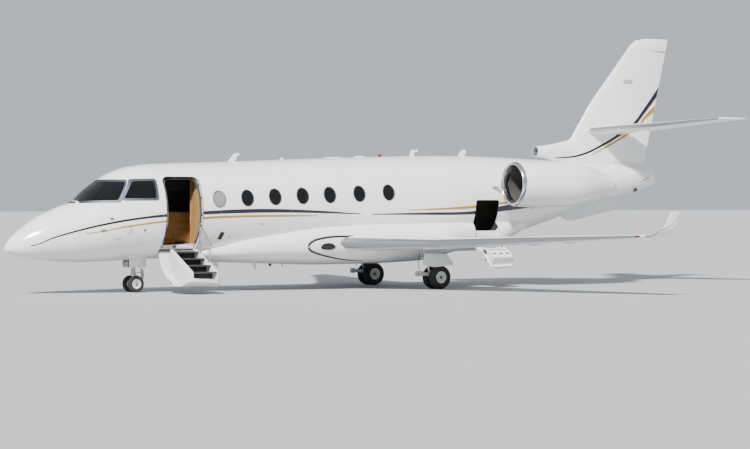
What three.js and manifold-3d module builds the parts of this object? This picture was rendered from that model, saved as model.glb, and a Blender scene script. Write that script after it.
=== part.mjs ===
// A twin-engined business jet standing on its gear, with its airstair and baggage door open.
// Millimetres, +X aft, +Y to starboard, +Z up. Stations run from the nose tip and z = 0 is the ground,
// so its fuselage lies about two degrees nose down, as it parks.
import * as THREE from "three";
import { mergeVertices } from "three/addons/utils/BufferGeometryUtils.js";
import Module from "manifold-3d";

const wasm = await Module();
wasm.setup();

// Driving dimensions
const length = 18970;
const cabinWall = 80; // whole wall, skin to lining
const tailWall = 30;
const seatGap = 0.4; // between pieces that are fastened to each other
const runGap = 6; // round what moves
const around = 32; // facets round the fuselage
const aroundInside = 20;

// Fuselage sections: station, top, height of greatest width, bottom, half width
const sections = [
  [0, 1085, 1060, 1035, 25],
  [45, 1190, 1075, 990, 105],
  [130, 1300, 1095, 945, 180],
  [388, 1530, 1150, 857, 350],
  [856, 1835, 1270, 788, 555],
  [1346, 2045, 1365, 752, 710],
  [1678, 2167, 1430, 735, 795],
  [1984, 2433, 1500, 733, 865],
  [2310, 2665, 1580, 742, 930],
  [2648, 2850, 1690, 752, 990],
  [3026, 2975, 1800, 768, 1050],
  [3450, 3041, 1890, 790, 1105],
  [3981, 3075, 1930, 792, 1145],
  [5147, 3113, 1943, 773, 1170],
  [8467, 3240, 2070, 900, 1170],
  [10600, 3308, 2150, 985, 1170],
  [11853, 3329, 2190, 1040, 1162],
  [12780, 3325, 2230, 1125, 1135],
  [13867, 3291, 2310, 1320, 1035],
  [14722, 3251, 2400, 1555, 900],
  [15700, 3205, 2520, 1850, 710],
  [16700, 3160, 2640, 2130, 500],
  [17700, 3125, 2770, 2385, 290],
  [18490, 3105, 2870, 2625, 70],
];

// Where the real panels meet
const noseJoint = 950;
const cockpitBulkhead = 1720;
const forwardJoint = 5000;
const aftJoint = 11900;
const tailJoint = 15250;
const tailEnd = 18490;

const vec = (x, y, z) => new THREE.Vector3(x, y, z);
const both = [
  ["port", -1],
  ["starboard", 1],
];

// One row of a table at a place between its rows, by straight lines.
function rowAt(table, place) {
  const i = table.findIndex((row, k) => k > 0 && place <= row[0]);
  const [low, high] = [table[i - 1], table[i]];
  const share = (place - low[0]) / (high[0] - low[0]);
  return low.map((value, k) => value + share * (high[k] - value));
}

// A closed geometry as a solid: shared corners merged, slivers dropped, faces out.
function solid(geometry) {
  const bare = new THREE.BufferGeometry().setAttribute("position", geometry.getAttribute("position"));
  if (geometry.index) bare.setIndex(geometry.index);
  const merged = mergeVertices(bare, 1e-3);
  const p = merged.attributes.position;
  const corners = [0, 1, 2].map(() => new THREE.Vector3());
  const kept = [];
  let volume = 0;
  for (let i = 0; i < merged.index.count; i += 3) {
    const face = [0, 1, 2].map((k) => merged.index.getX(i + k));
    if (new Set(face).size < 3) continue;
    kept.push(face);
    face.forEach((v, k) => corners[k].fromBufferAttribute(p, v));
    volume += corners[0].dot(corners[1].clone().cross(corners[2]));
  }
  const triVerts = new Uint32Array(kept.flatMap(([a, b, c]) => (volume < 0 ? [a, c, b] : [a, b, c])));
  return new wasm.Manifold(new wasm.Mesh({ numProp: 3, vertProperties: p.array, triVerts }));
}

const joined = (solids) => solids.reduce((a, b) => a.add(b));

// A solid through rings of equally many points, closed at both ends.
function loft(rings) {
  const count = rings[0].length;
  const faces = [];
  for (let i = 0; i + 1 < rings.length; i++)
    for (let j = 0; j < count; j++) {
      const [a, b] = [i * count + j, i * count + ((j + 1) % count)];
      faces.push(a, b, b + count, a, b + count, a + count);
    }
  const points = rings.flat();
  [rings[0], rings.at(-1)].forEach((ring, end) => {
    const middle = ring.reduce((sum, p) => sum.add(p), vec(0, 0, 0)).divideScalar(count);
    const first = end * (rings.length - 1) * count;
    for (let j = 0; j < count; j++) {
      const [a, b] = [first + j, first + ((j + 1) % count)];
      faces.push(points.length, end ? a : b, end ? b : a);
    }
    points.push(middle);
  });
  return solid(new THREE.BufferGeometry().setFromPoints(points).setIndex(faces));
}

const box = (x0, y0, z0, x1, y1, z1) =>
  solid(
    new THREE.BoxGeometry(x1 - x0, y1 - y0, z1 - z0).translate((x0 + x1) / 2, (y0 + y1) / 2, (z0 + z1) / 2),
  );

// A round bar or cone between two points.
function rod(from, to, radius, radiusTo = radius, facets = 10) {
  const along = to.clone().sub(from);
  const turn = new THREE.Quaternion().setFromUnitVectors(vec(0, 1, 0), along.clone().normalize());
  const middle = from.clone().lerp(to, 0.5);
  return solid(
    new THREE.CylinderGeometry(radiusTo, radius, along.length(), facets)
      .applyQuaternion(turn)
      .translate(middle.x, middle.y, middle.z),
  );
}

const shapeOf = (outline) => new THREE.Shape(outline.map(([u, v]) => new THREE.Vector2(u, v)));
const extruded = (outline, depth) =>
  new THREE.ExtrudeGeometry(Array.isArray(outline) ? shapeOf(outline) : outline, {
    depth,
    bevelEnabled: false,
    curveSegments: 6,
  });
// An outline seen from the side, in (x, z), between two values of y.
const sidePrism = (outline, y0, y1) =>
  solid(extruded(outline, y1 - y0).rotateX(Math.PI / 2).translate(0, y1, 0));
// An outline seen from the front, in (y, z), between two stations.
const crossPrism = (outline, x0, x1) =>
  solid(
    extruded(outline, x1 - x0)
      .applyMatrix4(new THREE.Matrix4().makeBasis(vec(0, 1, 0), vec(0, 0, 1), vec(1, 0, 0)))
      .translate(x0, 0, 0),
  );
// An outline seen from above, in (x, y), between two heights.
const planPrism = (outline, z0, z1) => solid(extruded(outline, z1 - z0).translate(0, 0, z0));

function roundedRectangle(u0, v0, u1, v1, radius, lowRadius = radius) {
  const s = new THREE.Shape();
  s.absarc(u1 - radius, v1 - radius, radius, 0, Math.PI / 2);
  s.absarc(u0 + radius, v1 - radius, radius, Math.PI / 2, Math.PI);
  s.absarc(u0 + lowRadius, v0 + lowRadius, lowRadius, Math.PI, Math.PI * 1.5);
  s.absarc(u1 - lowRadius, v0 + lowRadius, lowRadius, Math.PI * 1.5, Math.PI * 2);
  return s;
}

// A turned body about an axis along X, from a profile of [x, radius].
const turned = (profile, y, z, facets) =>
  solid(
    new THREE.LatheGeometry(
      profile.map(([x, r]) => new THREE.Vector2(r, x)),
      facets,
    )
      .rotateZ(-Math.PI / 2)
      .translate(0, y, z),
  );
// The same about an axis along Y, from a profile of [y, radius].
const turnedAcross = (profile, x, y, z, facets) =>
  solid(
    new THREE.LatheGeometry(
      profile.map(([v, r]) => new THREE.Vector2(r, v)),
      facets,
    ).translate(x, y, z),
  );

// One piece: a solid made into a mesh of its own material.
const aircraft = new THREE.Group();
aircraft.position.x = -length / 2;
function piece(name, body, [color, roughness, metalness]) {
  const made = body.getMesh();
  const geometry = new THREE.BufferGeometry()
    .setAttribute("position", new THREE.BufferAttribute(made.vertProperties, 3))
    .setIndex(new THREE.BufferAttribute(made.triVerts, 1));
  geometry.computeVertexNormals();
  const mesh = new THREE.Mesh(geometry, new THREE.MeshStandardMaterial({ color, roughness, metalness }));
  mesh.name = name;
  aircraft.add(mesh);
}

// Finishes: colour, roughness, metalness
const finish = {
  whitePaint: [0xf2f2ef, 0.25, 0.1],
  polishedMetal: [0xd5d8dc, 0.12, 1],
  darkMetal: [0x55585c, 0.4, 0.9],
  brightSteel: [0xb4b8bd, 0.3, 0.95],
  tyre: [0x1c1c1d, 0.85, 0],
  tintedGlass: [0x1b2226, 0.05, 0],
  carpet: [0x77726a, 0.95, 0],
  wood: [0x8a5a34, 0.35, 0],
  panelBlack: [0x202124, 0.6, 0],
  leather: [0xb8a88e, 0.6, 0],
};

// Fuselage

function bodyRing(station, grow, count) {
  const [x, top, belt, bottom, half] = rowAt(sections, station);
  return Array.from({ length: count }, (_, k) => {
    const t = (2 * Math.PI * k) / count;
    const height = Math.sin(t) > 0 ? top - belt : belt - bottom;
    return vec(x, (half + grow) * Math.cos(t), belt + (height + grow) * Math.sin(t));
  });
}

// The fuselage's outer form between two stations, grown outward or shrunk by an offset.
function bodyForm(from, to, grow = 0, count = around) {
  const inside = sections.map(([x]) => x).filter((x) => x > from + 1 && x < to - 1);
  return loft([from, ...inside, to].map((x) => bodyRing(x, grow, count)));
}
const wholeBody = bodyForm(0, tailEnd, 0.6);

// Cockpit glass, seen from the side; the windshield's outline runs ahead of the skin.
const windshield = [
  [1450, 2172],
  [2500, 2190],
  [2768, 2630],
  [1900, 2630],
];
const cockpitWindow = [
  [2622, 2232],
  [3390, 2236],
  [3420, 2652],
  [2900, 2642],
];
const centrePost = 34; // half width
const glassDepth = 22;
const widest = 1300; // clear of the skin on either side
const cabinSide = 700; // clear of the lining at the windows' height
const cockpitSide = 300;

// Cabin windows: station and height of each centre
const cabinWindows = [
  [4976, 2219],
  [5721, 2246],
  [6463, 2273],
  [7211, 2297],
  [7959, 2320],
  [8783, 2350],
  [9612, 2381],
];
const windowHalf = { length: 160, height: 193 };
const windowBar = { height: 36, depth: 12 };

const oval = (x, z, grow) =>
  new THREE.Shape().absellipse(
    x, z, windowHalf.length + grow, windowHalf.height + grow, 0, 2 * Math.PI, false, 0);
const sided = (outline, side, from, to) =>
  side < 0 ? sidePrism(outline, -to, -from) : sidePrism(outline, from, to);

const cockpitHoles = both.flatMap(([, side]) => [
  sided(windshield, side, centrePost, widest),
  sided(cockpitWindow, side, cockpitSide, widest),
]);
const cabinHoles = (grow) =>
  both.flatMap(([, side]) => cabinWindows.map(([x, z]) => sided(oval(x, z, grow), side, cabinSide, widest)));

// Entry door: opening, hinge line and how far it stands open
const entry = {
  front: 3620,
  rear: 4530,
  top: 2740,
  hinge: { y: -600, z: 982 },
  openDegrees: 106,
  skin: 62,
};
// Baggage door: it takes in the wing fairing's skin
const baggage = {
  front: 12150,
  rear: 12850,
  top: 2200,
  hinge: { y: -1020, z: 1150 },
  openDegrees: 122,
  skin: 55,
};
const sillDrop = 45; // the opening's sill lies below the hinge line
function doorway(door, grow) {
  const sill = door.hinge.z - sillDrop;
  const outline = roundedRectangle(
    door.front - grow, sill - grow, door.rear + grow, door.top + grow, 150, 10);
  return sidePrism(outline, -1500, door.hinge.y + grow);
}

const noseBody = bodyForm(0, noseJoint - seatGap / 2);
piece("radome", noseBody, finish.whitePaint);

const shell = (from, to, wall, innerFrom = from - 50, innerTo = to + 50) =>
  bodyForm(from + seatGap / 2, to - seatGap / 2).subtract(
    bodyForm(innerFrom, innerTo, -wall, aroundInside),
  );
// Each door turns on a barrel between two lugs, in a groove of the opening's sill.
const lug = { length: 34, radius: 22 };
const groove = 44; // radius
const onHinge = (door, from, to, radius) =>
  rod(vec(from, door.hinge.y, door.hinge.z), vec(to, door.hinge.y, door.hinge.z), radius);
const withSill = (body, door) =>
  body
    .subtract(doorway(door, 0))
    .subtract(onHinge(door, door.front, door.rear, groove))
    .add(onHinge(door, door.front - 1, door.front + lug.length, lug.radius))
    .add(onHinge(door, door.rear - lug.length, door.rear + 1, lug.radius));

let forward = shell(noseJoint, forwardJoint, cabinWall, cockpitBulkhead);
forward = cockpitHoles.reduce((body, hole) => body.subtract(hole), forward);
forward = cabinHoles(0).reduce((body, hole) => body.subtract(hole), forward);
forward = withSill(forward, entry);

let cabin = shell(forwardJoint, aftJoint, cabinWall);
cabin = cabinHoles(0).reduce((body, hole) => body.subtract(hole), cabin);

const bayBulkhead = aftJoint + 60;
const bayMouth = box(baggage.front, -1500, 1420, baggage.rear, -650, baggage.top);
const aft = shell(aftJoint, tailJoint, tailWall, bayBulkhead).subtract(bayMouth);
const tail = shell(tailJoint, tailEnd, tailWall, tailJoint - 50, tailEnd - 500);
piece("forward_fuselage", forward, finish.whitePaint);
piece("cabin_fuselage", cabin, finish.whitePaint);
piece("aft_fuselage", aft, finish.whitePaint);
piece("tail_cone", tail, finish.whitePaint);

// Glass: what an opening cuts from a thin skin, kept clear of the opening's edge.
const skinBetween = (from, to, outer, inner, count = around, innerCount = around) =>
  bodyForm(from, to, outer, count).subtract(bodyForm(from - 20, to + 20, inner, innerCount));
const shrunk = (outline, by) => {
  const [u, v] = [0, 1].map((k) => outline.reduce((sum, p) => sum + p[k], 0) / outline.length);
  return outline.map(([a, b]) => [a - Math.sign(a - u) * by, b - Math.sign(b - v) * by]);
};
const cockpitSkin = skinBetween(1400, 3600, -3, -3 - glassDepth);
for (const [name, side] of both) {
  const from = centrePost + seatGap;
  piece(
    "windshield_" + name,
    cockpitSkin.intersect(sided(shrunk(windshield, seatGap), side, from, widest)),
    finish.tintedGlass,
  );
  piece(
    "cockpit_window_" + name,
    cockpitSkin.intersect(sided(shrunk(cockpitWindow, seatGap), side, cockpitSide, widest)),
    finish.tintedGlass,
  );
}

// Cabin panes of one side stand on a thin bar behind the lining, which carries them as one piece.
const barInner = -cabinWall - windowBar.depth;
const paneSkin = skinBetween(4700, 9900, -3, barInner, around, aroundInside);
const barSkin = skinBetween(4700, 9900, -cabinWall - seatGap, barInner, aroundInside, aroundInside);
const barOutline = [
  [cabinWindows[0][0], cabinWindows[0][1] - windowBar.height],
  [cabinWindows[6][0], cabinWindows[6][1] - windowBar.height],
  [cabinWindows[6][0], cabinWindows[6][1] + windowBar.height],
  [cabinWindows[0][0], cabinWindows[0][1] + windowBar.height],
];
for (const [name, side] of both) {
  const panes = cabinWindows.map(([x, z]) =>
    paneSkin.intersect(sided(oval(x, z, -seatGap), side, cabinSide, widest)),
  );
  const bar = barSkin.intersect(sided(barOutline, side, cabinSide, widest));
  piece("cabin_windows_" + name, joined([bar, ...panes]), finish.tintedGlass);
}

// Flying surfaces

// Upper half thickness of a foil, in chords, for a unit thickness ratio.
const thicknessAt = (u) =>
  5 * (0.2969 * Math.sqrt(u) - 0.126 * u - 0.3516 * u * u + 0.2843 * u ** 3 - 0.1015 * u ** 4);
const chordSteps = [1, 0.86, 0.7, 0.5, 0.3, 0.14, 0.04, 0];

// A foil section whose thickness lies along z at cant 0 and along y at cant 90, grown by an offset.
function foil({ x, y, z, chord, ratio, cant = 0, grow = 0 }) {
  const c = THREE.MathUtils.degToRad(cant);
  const point = (u, sign) => {
    const t = sign * (chord * ratio * thicknessAt(u) + grow);
    const along = x + u * chord + (u - 0.5) * 2 * grow;
    return vec(along, y - t * Math.sin(c), z + t * Math.cos(c));
  };
  return [
    ...chordSteps.map((u) => point(u, 1)),
    ...chordSteps.toReversed().map((u) => point(u, -1)),
  ];
}
// A surface along a table of sections; place turns a row into the foil's place.
const surface = (table, place, grow = 0) => loft(table.map((row) => foil({ ...place(row), grow })));

// Belly fairing sections: station, half width, height of greatest width, bottom, top
const fairingSections = [
  [4500, 700, 1250, 960, 1500],
  [5000, 1010, 1180, 760, 1560],
  [5600, 1140, 1160, 700, 1640],
  [6700, 1235, 1160, 640, 1760],
  [7900, 1275, 1150, 598, 1820],
  [9500, 1290, 1160, 606, 1870],
  [11000, 1290, 1190, 660, 1890],
  [12100, 1120, 1400, 880, 1880],
  [12900, 1120, 1400, 900, 1860],
  [13600, 900, 1560, 1200, 1780],
];
const fairingSquareness = 2.5; // exponent of its superellipse below the greatest width
function fairingForm(grow = 0) {
  const count = 24;
  return loft(
    fairingSections.map(([x, half, belt, bottom, top]) =>
      Array.from({ length: count }, (_, k) => {
        const t = (2 * Math.PI * k) / count;
        const [c, s] = [Math.cos(t), Math.sin(t)];
        const power = s < 0 ? 2 / fairingSquareness : 1;
        const height = s > 0 ? top - belt : belt - bottom;
        return vec(
          x,
          Math.sign(c) * Math.abs(c) ** power * (half + grow),
          belt + Math.sign(s) * Math.abs(s) ** power * (height + grow),
        );
      }),
    ),
  );
}
const fairingHull = fairingForm();
const hull = bodyForm(0, tailEnd).add(fairingHull);
piece(
  "belly_fairing",
  withSill(fairingHull.subtract(wholeBody).subtract(bayMouth), baggage),
  finish.whitePaint,
);

// Wing sections: distance out, leading edge, trailing edge, height, thickness ratio
const wingSections = [
  [850, 7880, 11420, 1150, 0.13],
  [1300, 8190, 11500, 1150, 0.13],
  [3170, 9470, 11770, 1165, 0.12],
  [5870, 10800, 12260, 1278, 0.115],
  [8450, 12070, 12770, 1375, 0.11],
];
// Winglet sections: distance out, leading edge, trailing edge, height, cant
const wingletSections = [
  [8450.5, 12070, 12770, 1375, 0],
  [8590, 12135, 12700, 1395, 25],
  [8700, 12205, 12660, 1455, 50],
  [8765, 12280, 12665, 1540, 72],
  [8835, 12508, 12753, 1942, 80],
];
const wingletRatio = 0.1;
const onWing = ([y, leading, trailing, z, ratio]) => ({ x: leading, y, z, chord: trailing - leading, ratio });
const onWinglet = ([y, leading, trailing, z, cant]) => ({
  x: leading,
  y,
  z,
  chord: trailing - leading,
  ratio: wingletRatio,
  cant,
});

// A solid carried by a matrix, and its copy on the other side of the centre plane.
function carried(body, matrix) {
  const made = body.getMesh();
  return solid(
    new THREE.BufferGeometry()
      .setAttribute("position", new THREE.BufferAttribute(made.vertProperties, 3))
      .setIndex(new THREE.BufferAttribute(made.triVerts, 1))
      .applyMatrix4(matrix),
  );
}
const mirrored = (body, side) =>
  side > 0 ? body : carried(body, new THREE.Matrix4().makeScale(1, -1, 1));

// A control surface hinged inside a wing: its nose is round about the hinge line, and the wing
// has a cove a running gap wider, where the surface's hinge pin reaches both ends of the cove.
// The two solids are [what stays, what moves].
const hingePin = 11; // radius
const noseShare = 0.97; // of the foil's thickness at the hinge line
const sweepGap = 5; // more room at the outer end, which a swept surface nears as it turns
function hinged(body, hinge, region, movingRegion) {
  const axis = hinge.to.clone().sub(hinge.from).normalize().multiplyScalar(runGap);
  const reach = axis.clone().multiplyScalar((runGap - seatGap) / runGap);
  const pin = rod(hinge.from.clone().sub(reach), hinge.to.clone().add(reach), hingePin);
  const cove = rod(
    hinge.from.clone().sub(axis), hinge.to.clone().add(axis),
    hinge.radius + runGap, hinge.radiusTo + runGap, 24);
  const nose = rod(hinge.from, hinge.to, hinge.radius, hinge.radiusTo, 24);
  const moving = body.intersect(movingRegion).add(nose.intersect(body)).add(pin);
  return [body.subtract(region).subtract(cove), moving];
}

// Ailerons: span, share of the chord ahead of the hinge
const aileron = { inner: 5950, outer: 8150, share: 0.74 };
const wingRow = (y) => rowAt(wingSections, y);
function hingeOnWing(y) {
  const [, leading, trailing, z, ratio] = wingRow(y);
  const chord = trailing - leading;
  const radius = noseShare * chord * ratio * thicknessAt(aileron.share);
  return { at: vec(leading + aileron.share * chord, y, z), radius };
}
const aileronIn = hingeOnWing(aileron.inner + runGap);
const aileronOut = hingeOnWing(aileron.outer - runGap);
const behind = (from, to, inward, outward) =>
  planPrism(
    [
      [from.x, from.y - inward],
      [to.x, to.y + outward],
      [to.x + 3000, to.y + outward],
      [from.x + 3000, from.y - inward],
    ],
    900,
    4900,
  );
const [wingFixed, aileronMoving] = hinged(
  surface(wingSections, onWing),
  { from: aileronIn.at, to: aileronOut.at, radius: aileronIn.radius, radiusTo: aileronOut.radius },
  behind(aileronIn.at, aileronOut.at, runGap, runGap + sweepGap),
  behind(aileronIn.at, aileronOut.at, 0, 0),
);
// A flat pad under each wing takes a jack.
const jackPad = { x: 10100, y: 2600, radius: 45, face: 972, root: 1120 };
const pad = rod(
  vec(jackPad.x, jackPad.y, jackPad.face), vec(jackPad.x, jackPad.y, jackPad.root),
  jackPad.radius, jackPad.radius, 20);
const fairingGrown = fairingForm(0.8).add(wholeBody);
for (const [name, side] of both) {
  piece("wing_" + name, mirrored(wingFixed.add(pad), side).subtract(fairingGrown), finish.whitePaint);
  piece("aileron_" + name, mirrored(aileronMoving, side), finish.whitePaint);
  piece("winglet_" + name, mirrored(surface(wingletSections, onWinglet), side), finish.whitePaint);
}

// Fin sections: height, leading edge, trailing edge, thickness ratio
const finSections = [
  [2900, 15150, 18104, 0.11],
  [3640, 15600, 18281, 0.11],
  [3859, 15830, 18333, 0.11],
  [4779, 16433, 18552, 0.105],
  [6327, 17717, 18922, 0.1],
  [6469, 17887, 18955, 0.08],
  [6529, 18240, 18970, 0.03],
];
const onFin = ([z, leading, trailing, ratio]) => ({
  x: leading,
  y: 0,
  z,
  chord: trailing - leading,
  ratio,
  cant: 90,
});
// The rudder's hinge line, and the height of its two ends. The line leans aft: it lifts what turns
// about it, so the rudder's top edge falls aft, and it tips the rudder's sides, so the fin leaves
// more room below and above.
const rudder = {
  low: 3206,
  high: 6194,
  x: 17135,
  slope: 0.43,
  topDrop: 8,
  topFall: 0.06,
  room: { below: 26, above: 14 },
};
function hingeOnFin(z) {
  const [, leading, trailing, ratio] = rowAt(finSections, z);
  const x = rudder.x + rudder.slope * (z - rudder.low);
  const chord = trailing - leading;
  return { at: vec(x, 0, z), radius: noseShare * chord * ratio * thicknessAt((x - leading) / chord) };
}
const rudderLow = hingeOnFin(rudder.low);
const rudderHigh = hingeOnFin(rudder.high);
const behindRudder = (below, above, fall) =>
  sidePrism(
    [
      [rudderLow.at.x - rudder.slope * below, rudder.low - below],
      [rudderHigh.at.x + 1000, rudder.low - below],
      [rudderHigh.at.x + 1000, rudder.high + above - 1000 * fall],
      [rudderHigh.at.x + rudder.slope * above, rudder.high + above],
    ],
    -400,
    400,
  );
const [finFixed, rudderMoving] = hinged(
  surface(finSections, onFin),
  { from: rudderLow.at, to: rudderHigh.at, radius: rudderLow.radius, radiusTo: rudderHigh.radius },
  behindRudder(rudder.room.below, rudder.room.above, 0),
  behindRudder(0, -rudder.topDrop, rudder.topFall),
);

// Air inlet at the fin's root: station, middle height, half height, half width
const duct = { mouth: 14700, radius: 132, wall: 14, depth: 420, z: 3475 };
const ductSections = [
  [14700, 3475, 132, 132],
  [14900, 3468, 158, 138],
  [15300, 3440, 245, 150],
  [15800, 3400, 390, 132],
];
const ductForm = loft(
  ductSections.map(([x, z, height, width]) =>
    Array.from({ length: 20 }, (_, k) => {
      const t = (2 * Math.PI * k) / 20;
      return vec(x, width * Math.cos(t), z + height * Math.sin(t));
    }),
  ),
);
const ductBore = rod(
  vec(duct.mouth - 1, 0, duct.z), vec(duct.mouth + duct.depth, 0, duct.z),
  duct.radius - duct.wall, duct.radius - duct.wall, 20);
const torqueBox = [16600, 17150, 3985, 4085]; // from and to station, from and to height
const throughFin = (grow, half) =>
  box(torqueBox[0] - grow, -half, torqueBox[2] - grow, torqueBox[1] + grow, half, torqueBox[3] + grow);
piece(
  "fin",
  finFixed.add(ductForm).subtract(ductBore).subtract(wholeBody).subtract(throughFin(seatGap, 400)),
  finish.whitePaint,
);
piece("rudder", rudderMoving, finish.whitePaint);

// Tailplane sections: distance out, leading edge, trailing edge, height, thickness ratio
const tailSections = [
  [40, 16184, 18160, 4035, 0.12],
  [1700, 17180, 18550, 4165, 0.11],
  [3330, 18140, 18928, 4292, 0.095],
  [3430, 18270, 18952, 4300, 0.06],
];
const elevator = { inner: 246, outer: 3324, share: 0.68, rootStation: 17350, cutAway: 560 };
function hingeOnTail(y) {
  const [, leading, trailing, z, ratio] = rowAt(tailSections, y);
  const chord = trailing - leading;
  const radius = noseShare * chord * ratio * thicknessAt(elevator.share);
  return { at: vec(leading + elevator.share * chord, y, z), radius };
}
const elevatorIn = hingeOnTail(elevator.inner);
const elevatorOut = hingeOnTail(elevator.outer);
const elevatorRegion = planPrism(
  [
    [elevatorIn.at.x, elevator.inner],
    [elevatorOut.at.x, elevator.outer],
    [elevatorOut.at.x + 900, elevator.outer],
    [elevatorIn.at.x + 700, elevator.cutAway],
  ],
  3500,
  4900,
);
const elevatorBay = planPrism(
  [
    [elevator.rootStation, 0],
    [elevator.rootStation, elevator.inner],
    [elevatorIn.at.x, elevator.inner],
    [elevatorOut.at.x, elevator.outer + runGap + sweepGap],
    [elevatorOut.at.x + 900, elevator.outer + runGap + sweepGap],
    [elevatorOut.at.x + 900, 0],
  ],
  3500,
  4900,
);
const [tailFixed, elevatorMoving] = hinged(
  surface(tailSections, onWing),
  { from: elevatorIn.at, to: elevatorOut.at, radius: elevatorIn.radius, radiusTo: elevatorOut.radius },
  elevatorBay,
  elevatorRegion,
);
const finGrown = surface(finSections, onFin, 0.8);
const tailHalves = both.map(([, side]) => mirrored(tailFixed, side).subtract(finGrown));
piece("tailplane", joined([...tailHalves, throughFin(0, 300)]), finish.whitePaint);
for (const [name, side] of both)
  piece("elevator_" + name, mirrored(elevatorMoving, side), finish.whitePaint);

// Ventral strakes: an outline in (x, z) on a plate that leans out from its root
const strake = {
  outline: [
    [15090, 1720],
    [15340, 1654],
    [16980, 1951],
    [17150, 2420],
    [15400, 2300],
  ],
  thickness: 36,
  lean: Math.tan(THREE.MathUtils.degToRad(38)),
  root: { y: 150, z: 2350 },
};
for (const [name, side] of both) {
  const { lean, root, thickness } = strake;
  const sheared = new THREE.Matrix4().set(
    1, 0, 0, 0,
    0, 1, -side * lean, side * (root.y + root.z * lean),
    0, 0, 1, 0,
    0, 0, 0, 1,
  );
  const plate = extruded(strake.outline, thickness).rotateX(Math.PI / 2).translate(0, thickness / 2, 0);
  piece("strake_" + name, solid(plate.applyMatrix4(sheared)).subtract(wholeBody), finish.whitePaint);
}

// Engines, carried on pylons beside the aft fuselage: profiles of [station, radius]

const engine = { y: 1950, z: 2600, facets: 28 };
const lipProfile = [
  [12900, 566],
  [12780, 550],
  [12700, 506],
  [12780, 464],
  [12900, 450],
  [12900, 566],
];
const cowlStart = 12900 + seatGap;
const cowlEnd = 15700;
const ductRadius = 450;
const cowlOutside = [
  [cowlStart, 566],
  [13500, 590],
  [14200, 586],
  [14560, 548],
  [14900, 470],
  [15240, 362],
  [cowlEnd, 216],
];
const cowlInside = [
  [cowlEnd, 200],
  [15240, 336],
  [14870, ductRadius],
  [cowlStart, ductRadius],
];
const coreProfile = [
  [13480, 0],
  [13480, ductRadius - seatGap],
  [14860, ductRadius - seatGap],
  [14860, 240],
  [15560, 50],
  [15560, 0],
];
const hubProfile = [
  [13120, 0],
  [13150, 34],
  [13230, 86],
  [13330, 128],
  [13479.6, 128],
  [13479.6, 0],
];
const blade = { count: 18, station: 13405, chord: 118, thickness: 9, root: 100, tip: 440, pitch: 50 };
const fanBlade = (k) =>
  solid(
    new THREE.BoxGeometry(blade.chord, blade.thickness, blade.tip - blade.root)
      .translate(0, 0, (blade.tip + blade.root) / 2)
      .rotateZ(THREE.MathUtils.degToRad(blade.pitch))
      .rotateX((2 * Math.PI * k) / blade.count)
      .translate(blade.station, engine.y, engine.z),
  );
const turnedEngine = (profile) => turned(profile, engine.y, engine.z, engine.facets);
const cowlGrown = turnedEngine([[12600, 0], ...cowlOutside.map(([x, r]) => [x, r + 0.8]), [cowlEnd, 0]]);
const cowlProfile = [...cowlOutside, ...cowlInside, cowlOutside[0]];
const fan = joined([
  turned(hubProfile, engine.y, engine.z, blade.count),
  ...Array.from({ length: blade.count }, (_, k) => fanBlade(k)),
]);

// Pylon sections: distance out, leading edge, trailing edge, height, thickness ratio
const pylonSections = [
  [400, 13450, 16950, 2720, 0.075],
  [1650, 13450, 16250, 2660, 0.08],
];
const pylon = surface(pylonSections, onWing).subtract(wholeBody).subtract(cowlGrown);
for (const [name, side] of both) {
  piece("intake_lip_" + name, mirrored(turnedEngine(lipProfile), side), finish.polishedMetal);
  piece("nacelle_" + name, mirrored(turnedEngine(cowlProfile), side), finish.whitePaint);
  piece("engine_core_" + name, mirrored(turnedEngine(coreProfile), side), finish.darkMetal);
  piece("fan_" + name, mirrored(fan, side), finish.brightSteel);
  piece("pylon_" + name, mirrored(pylon, side), finish.whitePaint);
}

// Landing gear

// A tyre's half section as shares: of the half width, and of the way from rim to tread
const tyreShape = [
  [0.82, 0],
  [1, 0.42],
  [0.93, 0.8],
  [0.62, 1],
];
const wheelFacets = 24;
function tyreAt(x, y, { radius, rim, width }) {
  const half = tyreShape.map(([a, b]) => [(a * width) / 2, rim + b * (radius - rim)]);
  const profile = [...half, ...half.map(([v, r]) => [-v, r]).reverse(), half[0]];
  return turnedAcross(profile, x, y, radius, wheelFacets);
}
// Twin rims on one axle: half profile of [distance out, radius] from the arm to the outer dish
function rimsAt(x, y, { radius, rim, width, spacing, axle }) {
  const near = spacing - width * 0.45;
  const far = spacing + width * 0.45;
  const half = [
    [near - 14, axle],
    [near, rim * 0.5],
    [near, rim - seatGap],
    [far, rim - seatGap],
    [far - width * 0.3, rim * 0.5],
    [far, rim * 0.36],
    [far, 0],
  ];
  const profile = [...half.map(([v, r]) => [-v, r]).reverse(), ...half];
  return turnedAcross(profile, x, y, radius, wheelFacets);
}
const noseWheel = { x: 3240, radius: 203, rim: 104, width: 110, spacing: 160, axle: 24 };
const mainWheel = { x: 10680, y: 1650, radius: 292, rim: 138, width: 178, spacing: 150, axle: 32 };
const boreClearance = 0.5;
// An axle's barrel with its bore, on an arm of the leg
const barrelAt = (x, y, { radius, axle }, outer, half) => {
  const across = (reach, r, facets) =>
    rod(vec(x, y - reach, radius), vec(x, y + reach, radius), r, r, facets);
  return { barrel: across(half, outer, 20), bore: across(half + 60, axle + boreClearance, 28) };
};

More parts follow.
